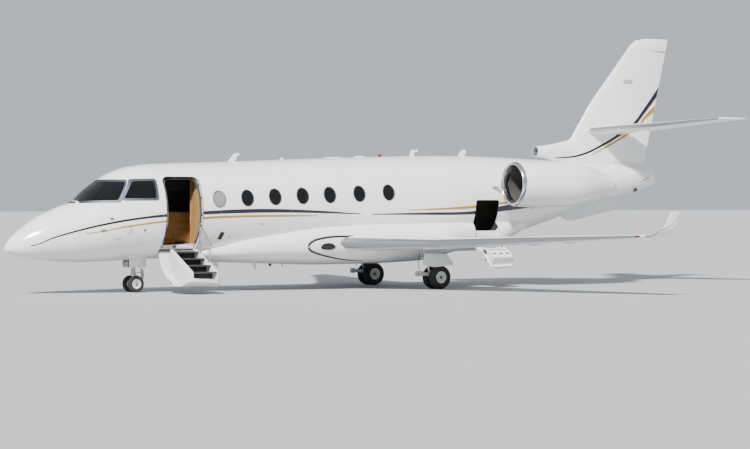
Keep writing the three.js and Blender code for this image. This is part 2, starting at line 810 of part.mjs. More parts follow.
const noseLeg = { top: 950, split: 480, radius: 54, piston: 38, brace: { x: 2870, z: 900 } };
const noseBarrel = barrelAt(noseWheel.x, 0, noseWheel, 46, 52);
const noseLegForm = joined([
  rod(vec(noseWheel.x, 0, noseLeg.split + seatGap), vec(noseWheel.x, 0, noseLeg.top), noseLeg.radius),
  rod(vec(noseWheel.x, 0, 590), vec(noseLeg.brace.x, 0, noseLeg.brace.z), 24),
]);
piece("nose_gear_leg", noseLegForm.subtract(wholeBody), finish.brightSteel);
piece(
  "nose_gear_fork",
  joined([
    rod(vec(noseWheel.x, 0, noseWheel.radius), vec(noseWheel.x, 0, noseLeg.split), noseLeg.piston),
    rod(vec(noseWheel.x, 0, noseLeg.split - 60), vec(noseWheel.x, 0, noseLeg.split), noseLeg.radius),
    box(noseWheel.x, -20, 300, noseWheel.x + 110, 20, 330),
    box(noseWheel.x + 80, -20, 300, noseWheel.x + 110, 20, 460),
    box(noseWheel.x, -20, 430, noseWheel.x + 110, 20, 460),
    noseBarrel.barrel,
  ]).subtract(noseBarrel.bore),
  finish.brightSteel,
);
piece("nose_wheel_rims", rimsAt(noseWheel.x, 0, noseWheel), finish.polishedMetal);
for (const [name, side] of both)
  piece("nose_tyre_" + name, tyreAt(noseWheel.x, side * noseWheel.spacing, noseWheel), finish.tyre);

// Nose gear doors hang from the edges of their bay.
const noseDoor = { front: 3050, rear: 3480, low: 590, y: 205, thickness: 14 };
for (const [name, side] of both) {
  const [near, far] = [noseDoor.y, noseDoor.y + noseDoor.thickness];
  const panel = box(noseDoor.front, near, noseDoor.low, noseDoor.rear, far, 1000);
  piece("nose_gear_door_" + name, mirrored(panel, side).subtract(wholeBody), finish.whitePaint);
}

// A trailing link main leg: the post stands ahead of the axle, and a shock strut props the arm.
const wingGrown = surface(wingSections, onWing, 0.8);
const mainLeg = { foot: vec(10150, 1650, 380), head: vec(10300, 1650, 1200), post: 62, arm: 46 };
const axleAt = vec(mainWheel.x, mainWheel.y, mainWheel.radius);
function mainLegForm(grow) {
  const bars = [
    [mainLeg.foot, mainLeg.head, mainLeg.post],
    [mainLeg.foot, axleAt, mainLeg.arm],
    [vec(10310, 1650, 980), vec(10500, 1650, 330), 34],
    [vec(10290, 1650, 980), vec(10290, 1250, 1150), 26],
  ];
  return joined(bars.map(([from, to, radius]) => rod(from, to, radius + grow)));
}
const mainBarrel = barrelAt(mainWheel.x, mainWheel.y, mainWheel, 56, 50);
const mainLegBody = mainLegForm(0)
  .add(mainBarrel.barrel)
  .add(rod(vec(10150, 1600, 380), vec(10150, 1700, 380), 66))
  .subtract(mainBarrel.bore)
  .subtract(wingGrown)
  .subtract(fairingGrown);
const mainDoor = {
  outline: [
    [10173, 888],
    [10811, 868],
    [11025, 600],
    [10462, 545],
    [10115, 600],
  ],
  y: 1925,
  thickness: 16,
  bracket: { x: 10255, z: 760, radius: 22 },
};
const mainDoorBody = sidePrism(mainDoor.outline, mainDoor.y, mainDoor.y + mainDoor.thickness)
  .add(
    rod(
      vec(mainDoor.bracket.x, mainWheel.y, mainDoor.bracket.z),
      vec(mainDoor.bracket.x, mainDoor.y + 2, mainDoor.bracket.z),
      mainDoor.bracket.radius,
    ),
  )
  .subtract(mainLegForm(seatGap));
for (const [name, side] of both) {
  piece("main_gear_leg_" + name, mirrored(mainLegBody, side), finish.brightSteel);
  piece("main_gear_door_" + name, mirrored(mainDoorBody, side), finish.whitePaint);
  piece("main_wheel_rims_" + name, rimsAt(mainWheel.x, side * mainWheel.y, mainWheel), finish.polishedMetal);
  for (const [place, out] of [
    ["inner", -1],
    ["outer", 1],
  ])
    piece(
      "main_tyre_" + name + "_" + place,
      tyreAt(mainWheel.x, side * (mainWheel.y + out * mainWheel.spacing), mainWheel),
      finish.tyre,
    );
}

// Doors, made shut and swung open about their hinge lines

function swung(body, door, degrees) {
  const { y, z } = door.hinge;
  const turn = new THREE.Matrix4().makeRotationX(THREE.MathUtils.degToRad(degrees));
  const there = new THREE.Matrix4().makeTranslation(0, y, z);
  const back = new THREE.Matrix4().makeTranslation(0, -y, -z);
  return carried(body, there.multiply(turn).multiply(back));
}
// A door swung open, notched round the lugs, with its hinge barrel.
const onBarrel = (shut, door) =>
  swung(shut, door, door.openDegrees)
    .subtract(onHinge(door, door.front, door.front + lug.length + runGap, lug.radius + runGap))
    .subtract(onHinge(door, door.rear - lug.length - runGap, door.rear, lug.radius + runGap))
    .add(onHinge(door, door.front + lug.length + seatGap, door.rear - lug.length - seatGap, 18));
const doorEnds = [entry.front - 100, entry.rear + 100];
const entryShut = bodyForm(...doorEnds)
  .intersect(doorway(entry, -runGap))
  .subtract(bodyForm(entry.front - 200, entry.rear + 200, -entry.skin));
piece("entry_door", onBarrel(entryShut, entry), finish.whitePaint);

// Airstair, in the open position: side plates with treads between them, and a handrail on the rear one
const stair = {
  plate: { front: 3740, rear: 4410, thickness: 36 },
  top: [
    [-1010, 1035],
    [-1100, 1035],
    [-2215, 532],
    [-2235, 416],
  ],
  bottom: [
    [-2235, 60],
    [-1010, 60],
  ],
  treads: [
    [-1120, 985],
    [-1445, 832],
    [-1770, 680],
    [-2095, 527],
  ],
  depth: 280,
  step: 34,
  riser: 130,
  rail: 13,
};
const stairFront = stair.plate.front;
const stairRear = stair.plate.rear;
const stairLining = bodyForm(entry.front - 200, entry.rear + 200, -entry.skin - seatGap);
const stairSlope = swung(stairLining, entry, entry.openDegrees);
const plates = [stairFront, stairRear - stair.plate.thickness].map((x) =>
  crossPrism([...stair.top, ...stair.bottom], x, x + stair.plate.thickness),
);
const treads = stair.treads.flatMap(([y, z]) => {
  const [outer, inner] = [y - stair.depth / 2, y + stair.depth / 2];
  return [
    box(stairFront + 5, outer, z - stair.step, stairRear - 5, inner, z),
    box(stairFront + 5, inner - 40, z - stair.step - stair.riser, stairRear - 5, inner - 10, z - 5),
  ];
});
const railPath = [
  [-1310, 900],
  [-1220, 1700],
  [-1860, 1165],
  [-1760, 620],
].map(([y, z]) => vec(stairRear - stair.plate.thickness / 2, y, z));
const handrail = [
  ...railPath.slice(1).map((point, i) => rod(railPath[i], point, stair.rail, stair.rail, 8)),
  ...railPath
    .slice(1, -1)
    .map((p) => solid(new THREE.SphereGeometry(stair.rail, 8, 6).translate(p.x, p.y, p.z))),
];
piece(
  "entry_stair",
  joined([...plates, ...treads]).intersect(stairSlope).add(joined(handrail)),
  finish.panelBlack,
);

// Baggage door with the step box on its inner face
const stepBox = { inset: 55, low: 1440, high: 2110, depth: 230, hole: 62 };
const hullNear = hull.intersect(box(baggage.front - 200, -1500, 900, baggage.rear + 200, 0, 2600));
const inward = new THREE.Matrix4().makeTranslation(0, baggage.skin, 0);
const doorSkin = hullNear.intersect(doorway(baggage, -runGap)).subtract(carried(hullNear, inward));
const stepForm = box(
  baggage.front + stepBox.inset, -1400, stepBox.low,
  baggage.rear - stepBox.inset, -1100 + stepBox.depth, stepBox.high,
).intersect(carried(hullNear, new THREE.Matrix4().makeTranslation(0, baggage.skin - 5, 0)));
const stepHoles = [-190, 0, 190].flatMap((dx) =>
  [-160, 160].map((dz) => {
    const [x, z] = [(baggage.front + baggage.rear) / 2 + dx, (stepBox.low + stepBox.high) / 2 + dz];
    return rod(vec(x, -1100 + stepBox.depth - 60, z), vec(x, -700, z), stepBox.hole);
  }),
);
const baggageShut = stepHoles.reduce((body, hole) => body.subtract(hole), doorSkin.add(stepForm));
piece("baggage_door", onBarrel(baggageShut, baggage), finish.whitePaint);

// Inside

const floorSlab = { front: 1760, rear: 11860, z: 1045, rise: 0.0375, thickness: 40 };
const floorLine = (x, up) => floorSlab.z + floorSlab.rise * (x - floorSlab.front) + up;
const inside = bodyForm(floorSlab.front - 20, aftJoint - 20, -cabinWall - seatGap, aroundInside);
const slab = (up, down) =>
  sidePrism(
    [
      [floorSlab.front, floorLine(floorSlab.front, down)],
      [floorSlab.rear, floorLine(floorSlab.rear, down)],
      [floorSlab.rear, floorLine(floorSlab.rear, up)],
      [floorSlab.front, floorLine(floorSlab.front, up)],
    ],
    -1200,
    1200,
  );
const doorClear = box(entry.front - 20, -1300, 800, entry.rear + 20, -620, 1400);
piece("cabin_floor", slab(0, -floorSlab.thickness).intersect(inside).subtract(doorClear), finish.carpet);
const underFloor = slab(seatGap, -2000);
const galley = { front: 3640, rear: 4500, inner: 330, top: 2760 };
piece(
  "galley_cabinet",
  box(galley.front, galley.inner, 1000, galley.rear, 1200, galley.top).intersect(inside).subtract(underFloor),
  finish.wood,
);
const panelOutline = [
  [2400, 1000],
  [2560, 1000],
  [2600, 2080],
  [2480, 2130],
  [2250, 2110],
  [2330, 1950],
];
piece(
  "instrument_panel",
  sidePrism(panelOutline, -850, 850).intersect(inside).subtract(underFloor),
  finish.panelBlack,
);
const seat = { x: 3080, y: 430, half: 245 };
const seatOutline = [
  [seat.x - 130, 1000],
  [seat.x + 170, 1000],
  [seat.x + 200, 1480],
  [seat.x + 300, 1560],
  [seat.x + 390, 2230],
  [seat.x + 370, 2420],
  [seat.x + 290, 2420],
  [seat.x + 270, 2230],
  [seat.x + 190, 1640],
  [seat.x - 250, 1640],
  [seat.x - 250, 1520],
  [seat.x - 130, 1480],
];
for (const [name, side] of both) {
  const chair = sidePrism(seatOutline, seat.y - seat.half, seat.y + seat.half);
  piece("crew_seat_" + name, mirrored(chair.subtract(underFloor).intersect(inside), side), finish.leather);
}

export default aircraft;
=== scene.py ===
import math
import bmesh
import bpy
import numpy as np
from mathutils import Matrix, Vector


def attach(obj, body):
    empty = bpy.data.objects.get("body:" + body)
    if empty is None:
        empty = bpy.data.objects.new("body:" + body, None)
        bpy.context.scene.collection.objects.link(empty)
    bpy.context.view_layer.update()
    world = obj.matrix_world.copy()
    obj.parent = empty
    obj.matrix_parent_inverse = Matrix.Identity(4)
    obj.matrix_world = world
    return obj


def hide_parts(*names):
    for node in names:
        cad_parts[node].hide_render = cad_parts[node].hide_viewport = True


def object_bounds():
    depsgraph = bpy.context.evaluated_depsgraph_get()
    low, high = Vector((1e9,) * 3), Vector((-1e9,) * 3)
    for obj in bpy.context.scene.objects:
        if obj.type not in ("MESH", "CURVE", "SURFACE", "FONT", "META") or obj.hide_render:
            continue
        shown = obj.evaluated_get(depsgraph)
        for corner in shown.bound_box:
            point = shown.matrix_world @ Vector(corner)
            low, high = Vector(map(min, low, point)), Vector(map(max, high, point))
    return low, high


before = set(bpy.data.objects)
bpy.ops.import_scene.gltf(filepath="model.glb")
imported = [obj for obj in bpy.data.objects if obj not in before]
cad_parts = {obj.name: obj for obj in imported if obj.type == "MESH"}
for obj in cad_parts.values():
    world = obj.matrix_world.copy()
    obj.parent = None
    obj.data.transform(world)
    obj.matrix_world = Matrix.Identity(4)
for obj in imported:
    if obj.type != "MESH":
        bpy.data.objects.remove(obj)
cadLow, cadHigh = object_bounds()
noseX = cadLow.x  # stations are metres aft of the nose tip
bothSides = (("port", -1), ("starboard", 1))
print("frame loaded")


# Numbers and grids


# Cubics between neighbouring values whose slopes are given, at a share u of each step.
def cubic(y, slope, i, step, u):
    return (
        y[i] * (1 + 2 * u) * (1 - u) ** 2 + slope[i] * step * u * (1 - u) ** 2
        + y[i + 1] * u * u * (3 - 2 * u) - slope[i + 1] * step * u * u * (1 - u)
    )


# A table's columns at new places: cubics through the rows, with slopes that never overshoot.
def smoothRows(table, at):
    t = np.asarray(table, float)
    x, y = t[:, 0], t[:, 1:]
    step = np.diff(x)[:, None]
    rise = np.diff(y, axis=0) / step
    same = rise[:-1] * rise[1:] > 0
    slope = np.zeros_like(y)
    slope[1:-1] = np.where(same, 2 * rise[:-1] * rise[1:] / np.where(same, rise[:-1] + rise[1:], 1), 0)
    slope[0], slope[-1] = rise[0], rise[-1]
    at = np.atleast_1d(np.asarray(at, float))
    i = np.clip(np.searchsorted(x, at, side="right") - 1, 0, len(x) - 2)
    return cubic(y, slope, i, step[i], ((at - x[i]) / step[i, 0])[:, None])


# The same by straight lines.
def straightRows(table, at):
    t = np.asarray(table, float)
    return np.stack([np.interp(at, t[:, 0], column) for column in t[:, 1:].T], -1)


# A grid of points as (points, faces, pattern places): quads between neighbours. Its rows and its
# columns close on request, and so does each end, by a fan to its middle.
def grid(points, uv=None, wrapRows=False, wrapColumns=True, ends=False):
    n, m = points.shape[:2]
    i = np.arange(n if wrapRows else n - 1)[:, None]
    j = np.arange(m if wrapColumns else m - 1)
    k, l = (i + 1) % n, (j + 1) % m
    faces = np.stack([i * m + j, i * m + l, k * m + l, k * m + j], -1).reshape(-1, 4).tolist()
    flat = points.reshape(-1, 3)
    places = np.zeros((n * m, 2)) if uv is None else np.asarray(uv, float).reshape(-1, 2)
    for row in (0, n - 1) if ends else ():
        ring = np.arange(m) + row * m
        faces += np.stack([ring, np.roll(ring, -1), np.full(m, len(flat))], -1).tolist()
        flat = np.vstack([flat, flat[ring].mean(0)])
        places = np.vstack([places, places[ring].mean(0)])
    return flat, faces, places


# Angles all the way round.
def circle(count):
    return np.linspace(0, 2 * np.pi, count, endpoint=False)


# Several shapes as one.
def together(*shapes):
    counts = np.cumsum([0] + [len(s[0]) for s in shapes])
    faces = [[v + start for v in face] for s, start in zip(shapes, counts) for face in s[1]]
    return np.vstack([s[0] for s in shapes]), faces, np.vstack([s[2] for s in shapes])


# A shape seen in the mirror of the centre plane.
def mirrored(shape, side=-1):
    return shape[0] * [1, side, 1], shape[1], shape[2]


# A profile of (along, radius) turned about an axis through a point: each point goes round on a
# circle of its own radius. The axis is x, y or z. The profile is closed, or with solid its ends are.
def turned(profile, centre, axis="x", count=48, solid=False):
    p = np.asarray(profile, float)
    t = circle(count)
    along, radius = np.repeat(p[:, :1], count, 1), p[:, 1:]
    a, b = radius * np.cos(t), radius * np.sin(t)
    order = {"x": (along, a, b), "y": (a, along, b), "z": (a, b, along)}[axis]
    return grid(np.stack(order, -1) + np.asarray(centre, float), wrapRows=not solid, ends=solid)


# A sleeve between two radii and two places along an axis.
def sleeve(low, high, inner, outer, *place):
    return turned([(low, inner), (low, outer), (high, outer), (high, inner)], *place)


# A round bar along a path: circles square to the path's own direction, radius constant or per point.
def tube(path, radius, count=12):
    p = np.asarray(path, float)
    along = np.gradient(p, axis=0)
    along /= np.linalg.norm(along, axis=1)[:, None]
    side = np.cross(along, [0, 0, 1.0])
    weak = np.linalg.norm(side, axis=1) < 0.2
    side[weak] = np.cross(along[weak], [1.0, 0, 0])
    side /= np.linalg.norm(side, axis=1)[:, None]
    up = np.cross(side, along)
    t = circle(count)
    r = np.broadcast_to(radius, len(p))[:, None, None]
    ring = side[:, None] * np.cos(t)[None, :, None] + up[:, None] * np.sin(t)[None, :, None]
    return grid(p[:, None] + r * ring, ends=True)


# A smooth path through a few points: cubics between them, count points in all.
def bent(points, count=24):
    p = np.asarray(points, float)
    far = np.concatenate([[0], np.cumsum(np.linalg.norm(np.diff(p, axis=0), axis=1))])
    at = np.linspace(0, far[-1], count)
    slope = np.gradient(p, far, axis=0)
    i = np.clip(np.searchsorted(far, at, side="right") - 1, 0, len(p) - 2)
    h = (far[i + 1] - far[i])[:, None]
    return cubic(p, slope, i, h, ((at - far[i]) / h[:, 0])[:, None])


# An outline's corners rounded by arcs of one radius: each corner becomes a quarter-like bend
# between two points on its sides, a quadratic through the corner.
def rounded(outline, radius, steps=6):
    p = np.asarray(outline, float)
    before, after = np.roll(p, 1, 0) - p, np.roll(p, -1, 0) - p
    lengths = [np.linalg.norm(v, axis=1)[:, None] for v in (before, after)]
    cut = np.minimum(radius, 0.45 * np.minimum(*lengths))
    a, b = p + before / lengths[0] * cut, p + after / lengths[1] * cut
    u = np.linspace(0, 1, steps)[None, :, None]
    return ((1 - u) ** 2 * a[:, None] + 2 * u * (1 - u) * p[:, None] + u * u * b[:, None]).reshape(-1, 2)


def ovalOutline(centre, half, count=40):
    t = circle(count)
    return np.stack([centre[0] + half[0] * np.cos(t), centre[1] + half[1] * np.sin(t)], -1)


# An outline carried along an axis between two places, closed at both ends.
# The outline's two numbers are the other two axes in their order.
def prism(outline, low, high, axis="y", steps=1):
    o = np.asarray(outline, float)
    at = np.linspace(low, high, steps + 1)[:, None]
    along = np.broadcast_to(at, (steps + 1, len(o)))
    u, v = (np.broadcast_to(o[:, k], along.shape) for k in (0, 1))
    order = {"x": (along, u, v), "y": (u, along, v), "z": (u, v, along)}[axis]
    return grid(np.stack(order, -1), ends=True)


def rectangle(near, far, low, high, side=1):
    return [(side * near, low), (side * far, low), (side * far, high), (side * near, high)]


def block(low, high):
    return prism(rectangle(low[0], high[0], low[2], high[2]), low[1], high[1])


# Pieces


def rawObject(name, shape, materials=()):
    points, faces, places = shape
    mesh = bpy.data.meshes.new(name)
    mesh.from_pydata((points + [noseX, 0, 0]).tolist(), [], faces)
    uv = mesh.uv_layers.new(name="surface")
    corner = np.empty(len(mesh.loops), np.int32)
    mesh.loops.foreach_get("vertex_index", corner)
    uv.data.foreach_set("uv", places[corner].astype(np.float32).ravel())
    for material in materials:
        mesh.materials.append(material)
    work = bmesh.new()
    work.from_mesh(mesh)
    bmesh.ops.remove_doubles(work, verts=work.verts, dist=1e-5)
    bmesh.ops.recalc_face_normals(work, faces=work.faces)
    work.to_mesh(mesh)
    work.free()
    thing = bpy.data.objects.new(name, mesh)
    bpy.context.scene.collection.objects.link(thing)
    return thing


# Modifiers become the mesh itself.
def settled(thing):
    seen = thing.evaluated_get(bpy.context.evaluated_depsgraph_get())
    mesh = bpy.data.meshes.new_from_object(seen)
    thing.modifiers.clear()
    old, thing.data = thing.data, mesh
    bpy.data.meshes.remove(old)
    mesh.name = thing.name


def combined(thing, shape, operation="DIFFERENCE", material=None):
    other = rawObject("cutter", shape, [material] if material else ())
    change = thing.modifiers.new("change", "BOOLEAN")
    change.operation, change.solver, change.object = operation, "EXACT", other
    change.material_mode = "TRANSFER" if material else "INDEX"
    settled(thing)
    bpy.data.objects.remove(other)


# Faces behind the bulkhead that look at the fuselage's middle line take the second material.
def lineInside(mesh):
    count = len(mesh.polygons)
    normal, centre = np.empty(count * 3), np.empty(count * 3)
    mesh.polygons.foreach_get("normal", normal)
    mesh.polygons.foreach_get("center", centre)
    outward = centre.reshape(-1, 3)[:, 1:] - [0, fuselage["middle"]]
    facing = (normal.reshape(-1, 3)[:, 1:] * outward).sum(1) / np.linalg.norm(outward, axis=1)
    behindBulkhead = centre.reshape(-1, 3)[:, 0] - noseX > fuselage["joints"]["bulkhead"]
    mesh.polygons.foreach_set("material_index", ((facing < -0.15) & behindBulkhead).astype(np.int32))


# A door is turned from shut to open about (y, z), and keeps its shut places as an attribute.
def swingOpen(mesh, hinge, degrees):
    points = np.empty(len(mesh.vertices) * 3)
    mesh.vertices.foreach_get("co", points)
    mesh.attributes.new("shut", "FLOAT_VECTOR", "POINT").data.foreach_set("vector", points)
    mesh.vertices.foreach_set("co", turnedAbout(points.reshape(-1, 3), hinge, degrees).ravel())
    mesh.update()


# Points turned about a line along x through (y, z).
def turnedAbout(points, hinge, degrees):
    c, s = math.cos(math.radians(degrees)), math.sin(math.radians(degrees))
    y, z = points[:, 1] - hinge[0], points[:, 2] - hinge[1]
    return np.stack([points[:, 0], hinge[0] + y * c - z * s, hinge[1] + y * s + z * c], -1)


# A finished piece: what it is made of, which body carries it, and the solids that it stands for.
# Cuts and what else is done to the shape come in this order: cut away, kept within, added, turned.
def piece(name, shape, material, body="airframe", replaces=(), cuts=(), keeps=(), adds=(), bevel=0,
          sharp=32, lined=False, swing=None):
    materials = material if isinstance(material, list) else [material]
    thing = rawObject(name, shape, materials)
    if lined:
        lineInside(thing.data)
    for cutter in cuts:
        combined(thing, *cutter) if isinstance(cutter[1], str) else combined(thing, cutter)
    for cutter in keeps:
        combined(thing, cutter, "INTERSECT")
    for other in adds:
        combined(thing, other, "UNION")
    if swing:
        swingOpen(thing.data, *swing)
    if bevel:
        edge = thing.modifiers.new("edge", "BEVEL")
        edge.width, edge.segments, edge.limit_method, edge.angle_limit = bevel, 2, "ANGLE", math.radians(35)
        settled(thing)
    thing.data.shade_smooth()
    thing.data.set_sharp_from_angle(angle=math.radians(sharp))
    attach(thing, body)
    if replaces:
        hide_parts(*replaces)
    return thing


# Materials


# A socket that takes part in sums.
class Value:
    def __init__(self, shader, socket):
        self.shader, self.socket = shader, socket

    def __add__(self, other): return self.shader.maths("ADD", self, other)
    def __radd__(self, other): return self.shader.maths("ADD", other, self)
    def __sub__(self, other): return self.shader.maths("SUBTRACT", self, other)
    def __rsub__(self, other): return self.shader.maths("SUBTRACT", other, self)
    def __mul__(self, other): return self.shader.maths("MULTIPLY", self, other)
    def __rmul__(self, other): return self.shader.maths("MULTIPLY", other, self)
    def __truediv__(self, other): return self.shader.maths("DIVIDE", self, other)
    def __gt__(self, other): return self.shader.maths("GREATER_THAN", self, other)
    def __lt__(self, other): return self.shader.maths("LESS_THAN", self, other)
    def __abs__(self): return self.shader.maths("ABSOLUTE", self)


class Shader:
    def __init__(self, name, **fixed):
        self.material = bpy.data.materials.new(name)
        self.material.use_nodes = True
        self.nodes = self.material.node_tree.nodes
        self.links = self.material.node_tree.links
        self.surface = self.nodes["Principled BSDF"]
        for key, value in fixed.items():
            self.surface.inputs[key.replace("_", " ")].default_value = value
        self.place = self.node("ShaderNodeTexCoord", output="Object")
        self.x, self.y, self.z = self.parts(self.place)
        self.station = self.x - noseX

    def parts(self, vector):
        return [self.node("ShaderNodeSeparateXYZ", {}, {0: vector}, k) for k in range(3)]

    # Any node: its type, its settings, what its sockets get, and the output that is used.
    def node(self, kind, settings=None, sockets=None, output=0):
        made = self.nodes.new(kind)
        for key, value in (settings or {}).items():
            if key == "curve":
                line = made.mapping.curves[0]
                while len(line.points) < len(value):
                    line.points.new(0.5, 0.5)
                for point, (at, height) in zip(line.points, value):
                    point.location = (at, height)
                made.mapping.update()
            else:
                setattr(made, key, value)
        for key, value in (sockets or {}).items():
            self.feed(made.inputs[key], value)
        return Value(self, made.outputs[output])

    def feed(self, socket, value):
        if isinstance(value, Value):
            self.links.new(value.socket, socket)
        else:
            socket.default_value = value

    def maths(self, operation, *values):
        return self.node("ShaderNodeMath", {"operation": operation}, dict(enumerate(values)))

    # The greatest of several values.
    def either(self, first, *others):
        for other in others:
            first = self.maths("MAXIMUM", first, other)
        return first

    # Colours are three numbers or values.
    def mix(self, share, *colors):
        a, b = (c if isinstance(c, Value) else (*c, 1) for c in colors)
        return self.node("ShaderNodeMix", {"data_type": "RGBA"}, {0: share, 6: a, 7: b}, 2)

    # 0 below low, 1 above high, smooth between.
    def between(self, value, low, high):
        settings = {"interpolation_type": "SMOOTHSTEP"}
        return self.node("ShaderNodeMapRange", settings, {0: value, 1: low, 2: high})

    # 1 inside a band of half width wide about zero.
    def band(self, value, wide, soft):
        return 1 - self.between(abs(value), wide, wide + soft)

    def noise(self, scale, detail=4.0, stretch=(1, 1, 1), rough=0.5):
        moved = self.node("ShaderNodeMapping", {}, {0: self.place, 3: stretch})
        sockets = {"Vector": moved, "Scale": scale, "Detail": detail, "Roughness": rough}
        return self.node("ShaderNodeTexNoise", {}, sockets)

    def set(self, **values):
        for key, value in values.items():
            self.feed(self.surface.inputs[key.replace("_", " ")], value)
        return self

    # A height in metres as a bump.
    def bump(self, height, depth):
        sockets = {"Strength": 1.0, "Distance": depth, "Height": height}
        self.set(Normal=self.node("ShaderNodeBump", {}, sockets))
        return self.material


white = (0.86, 0.865, 0.86)
offWhite = (0.8, 0.81, 0.82)
navy = (0.0015, 0.0025, 0.016)
gold = (0.36, 0.215, 0.012)
seamGrey = (0.32, 0.33, 0.34)

# Stripes on the fuselage's side: station, top edge, bottom edge
stripes = {
    "navyFront": [(0.485, 1.138, 1.134), (1.018, 1.343, 1.329), (1.684, 1.538, 1.514), (2.378, 1.692, 1.662),
                  (3.091, 1.802, 1.766), (3.623, 1.86, 1.81), (4.586, 1.925, 1.862), (5.4, 1.962, 1.888),
                  (6.23, 1.976, 1.902), (7.0, 1.958, 1.9), (7.832, 1.92, 1.884), (8.815, 1.862, 1.858)],
    "goldFront": [(1.684, 1.421, 1.417), (2.726, 1.594, 1.576), (3.622, 1.712, 1.684), (4.586, 1.791, 1.752),
                  (5.4, 1.822, 1.786), (6.23, 1.828, 1.8), (7.0, 1.826, 1.806), (7.629, 1.817, 1.815)],
    "navyRear": [(9.139, 1.848, 1.844), (9.9, 1.864, 1.842), (10.66, 1.878, 1.836), (12.12, 1.915, 1.85),
                 (13.08, 2.06, 1.93), (14.2, 2.19, 2.06), (15.4, 2.33, 2.24), (16.6, 2.44, 2.425)],
    "goldRear": [(10.18, 1.952, 1.948), (11.14, 1.99, 1.964), (12.12, 2.052, 2.002), (13.1, 2.15, 2.112)],
}
finStripes = {
    "navyFin": [(15.25, 3.312, 3.306), (15.5, 3.326, 3.308), (15.912, 3.376, 3.346), (16.795, 3.712, 3.66),
                (17.3, 3.975, 3.905), (17.803, 4.275, 4.165), (18.1, 4.59, 4.45), (18.35, 4.87, 4.71),
                (18.51, 5.06, 4.88), (18.65, 5.22, 5.03), (18.8, 5.38, 5.18)],
    "goldFin": [(16.38, 3.416, 3.408), (16.684, 3.545, 3.525), (17.35, 3.862, 3.82), (17.973, 4.225, 4.155),
                (18.18, 4.44, 4.35), (18.37, 4.6, 4.485), (18.55, 4.735, 4.6), (18.75, 4.87, 4.73)],
}
wingletStripe = {
    "navyTip": [(12.2, 1.5, 1.505), (12.36, 1.535, 1.54), (12.5, 1.6, 1.605), (12.62, 1.69, 1.695),
                (12.76, 1.84, 1.845)],
}
span, height = 20.0, 8.0  # what the curves' unit square stands for


# Paint masks of each stripe: above its lower edge, below its upper edge, between its ends.
def stripeMask(shader, rows, station, z):
    edges = []
    for column in (1, 2):
        line = [(0, rows[0][column] / height)] + [(r[0] / span, r[column] / height) for r in rows]
        line.append((1, rows[-1][column] / height))
        edges.append(shader.node("ShaderNodeFloatCurve", {"curve": line}, {1: station / span}) * height)
    soft, wider = 0.004, 0.011
    inside = shader.between(z - edges[1], -soft - wider, soft - wider)
    inside = inside * shader.between(edges[0] - z, -soft - wider, soft - wider)
    ends = shader.between(station, rows[0][0], rows[0][0] + soft) * (station < rows[-1][0])
    return inside * ends


# Stripes laid over a colour.
def striped(shader, color, sets, station, z):
    for table in sets:
        for key, rows in table.items():
            stripe = gold if key.startswith("gold") else navy
            color = shader.mix(stripeMask(shader, rows, station, z), color, stripe)
    return color


def paint(name, sets, seams=(), shutPlace=None):
    s = Shader(name, Metallic=0.0, IOR=1.5, Coat_Weight=0.6, Coat_Roughness=0.06)
    station, z = s.station, s.z
    if shutPlace:
        shut = s.node("ShaderNodeAttribute", {"attribute_name": shutPlace}, {}, "Vector")
        x, _, z = s.parts(shut)
        station = x - noseX
    color = s.mix(s.noise(1.3, 3.0) * 0.35, white, offWhite)
    # Painted shade: below a height of 1.9 m the skin is greyed in noisy patches, darker towards the belly, as
    # the shade that falls under the fuselage.
    under = s.between(s.z, 1.9, 0.8)
    color = s.mix(under * s.noise(2.2, 5.0, stretch=(0.4, 1, 1)) * 0.35, color, (0.6, 0.6, 0.59))
    color = striped(s, color, sets, station, z)
    height = s.noise(90.0, 2.0) * 0.02
    for seam in seams:
        line = s.band(station - seam, 0.0018, 0.0015)
        color = s.mix(line * 0.7, color, seamGrey)
        height = height - line
    s.set(Base_Color=color, Roughness=s.noise(5.0, 3.0) * 0.1 + 0.15)
    return s.bump(height, 0.0015)


frames = (0.95, 1.55, 3.52, 5.0, 6.9, 8.4, 9.95, 11.9, 13.3, 15.25, 16.4)
whitePaint = paint("white_paint", [stripes], frames)
plainPaint = paint("plain_white_paint", [])


def liningMaterial(name, a, b, rough=0.75):
    s = Shader(name)
    s.set(Base_Color=s.mix(s.noise(30.0), a, b), Roughness=s.noise(12.0) * 0.1 + rough)
    return s.bump(s.noise(400.0), 0.0006)


# Grain runs along one axis: noise drawn out, with a finer noise laid over it.
def woodMaterial(name, light, dark, stretch):
    s = Shader(name, Coat_Weight=0.5, Coat_Roughness=0.12)
    grain = s.noise(22.0, 6.0, stretch=stretch, rough=0.65)
    fine = s.noise(160.0, 3.0, stretch=stretch)
    figure = s.between(grain, 0.35, 0.65)
    s.set(Base_Color=s.mix(figure * 0.7 + fine * 0.3, light, dark), Roughness=fine * 0.12 + 0.28)
    return s.bump(fine, 0.0004)


def metalMaterial(name, color, rough, scale=60.0, spread=0.12):
    s = Shader(name, Metallic=1.0)
    streak = s.noise(scale, 3.0)
    s.set(Base_Color=s.mix(streak, color, [c * 0.8 for c in color]), Roughness=streak * spread + rough)
    return s.bump(streak, 0.0004)


# Tinted glass; on the port side ahead of the station "clear" it lets a blind show.
def glassMaterial(name, tint, clear=0.0):
    s = Shader(name, Transmission_Weight=1.0, IOR=1.48)
    s.set(Base_Color=s.mix((s.station < clear) * (s.y < 0), tint, (0.86, 0.87, 0.87)))
    s.set(Roughness=s.noise(3.0) * 0.02 + 0.01)
    return s.bump(s.noise(1.2, 1.0), 0.002)


def rubberMaterial(name, color=(0.018, 0.018, 0.019), rough=0.7):
    s = Shader(name)
    dust = s.noise(14.0, 5.0)
    s.set(Base_Color=s.mix(dust * 0.5, color, (0.05, 0.049, 0.046)), Roughness=dust * 0.2 + rough)
    return s.bump(s.noise(160.0), 0.0008)


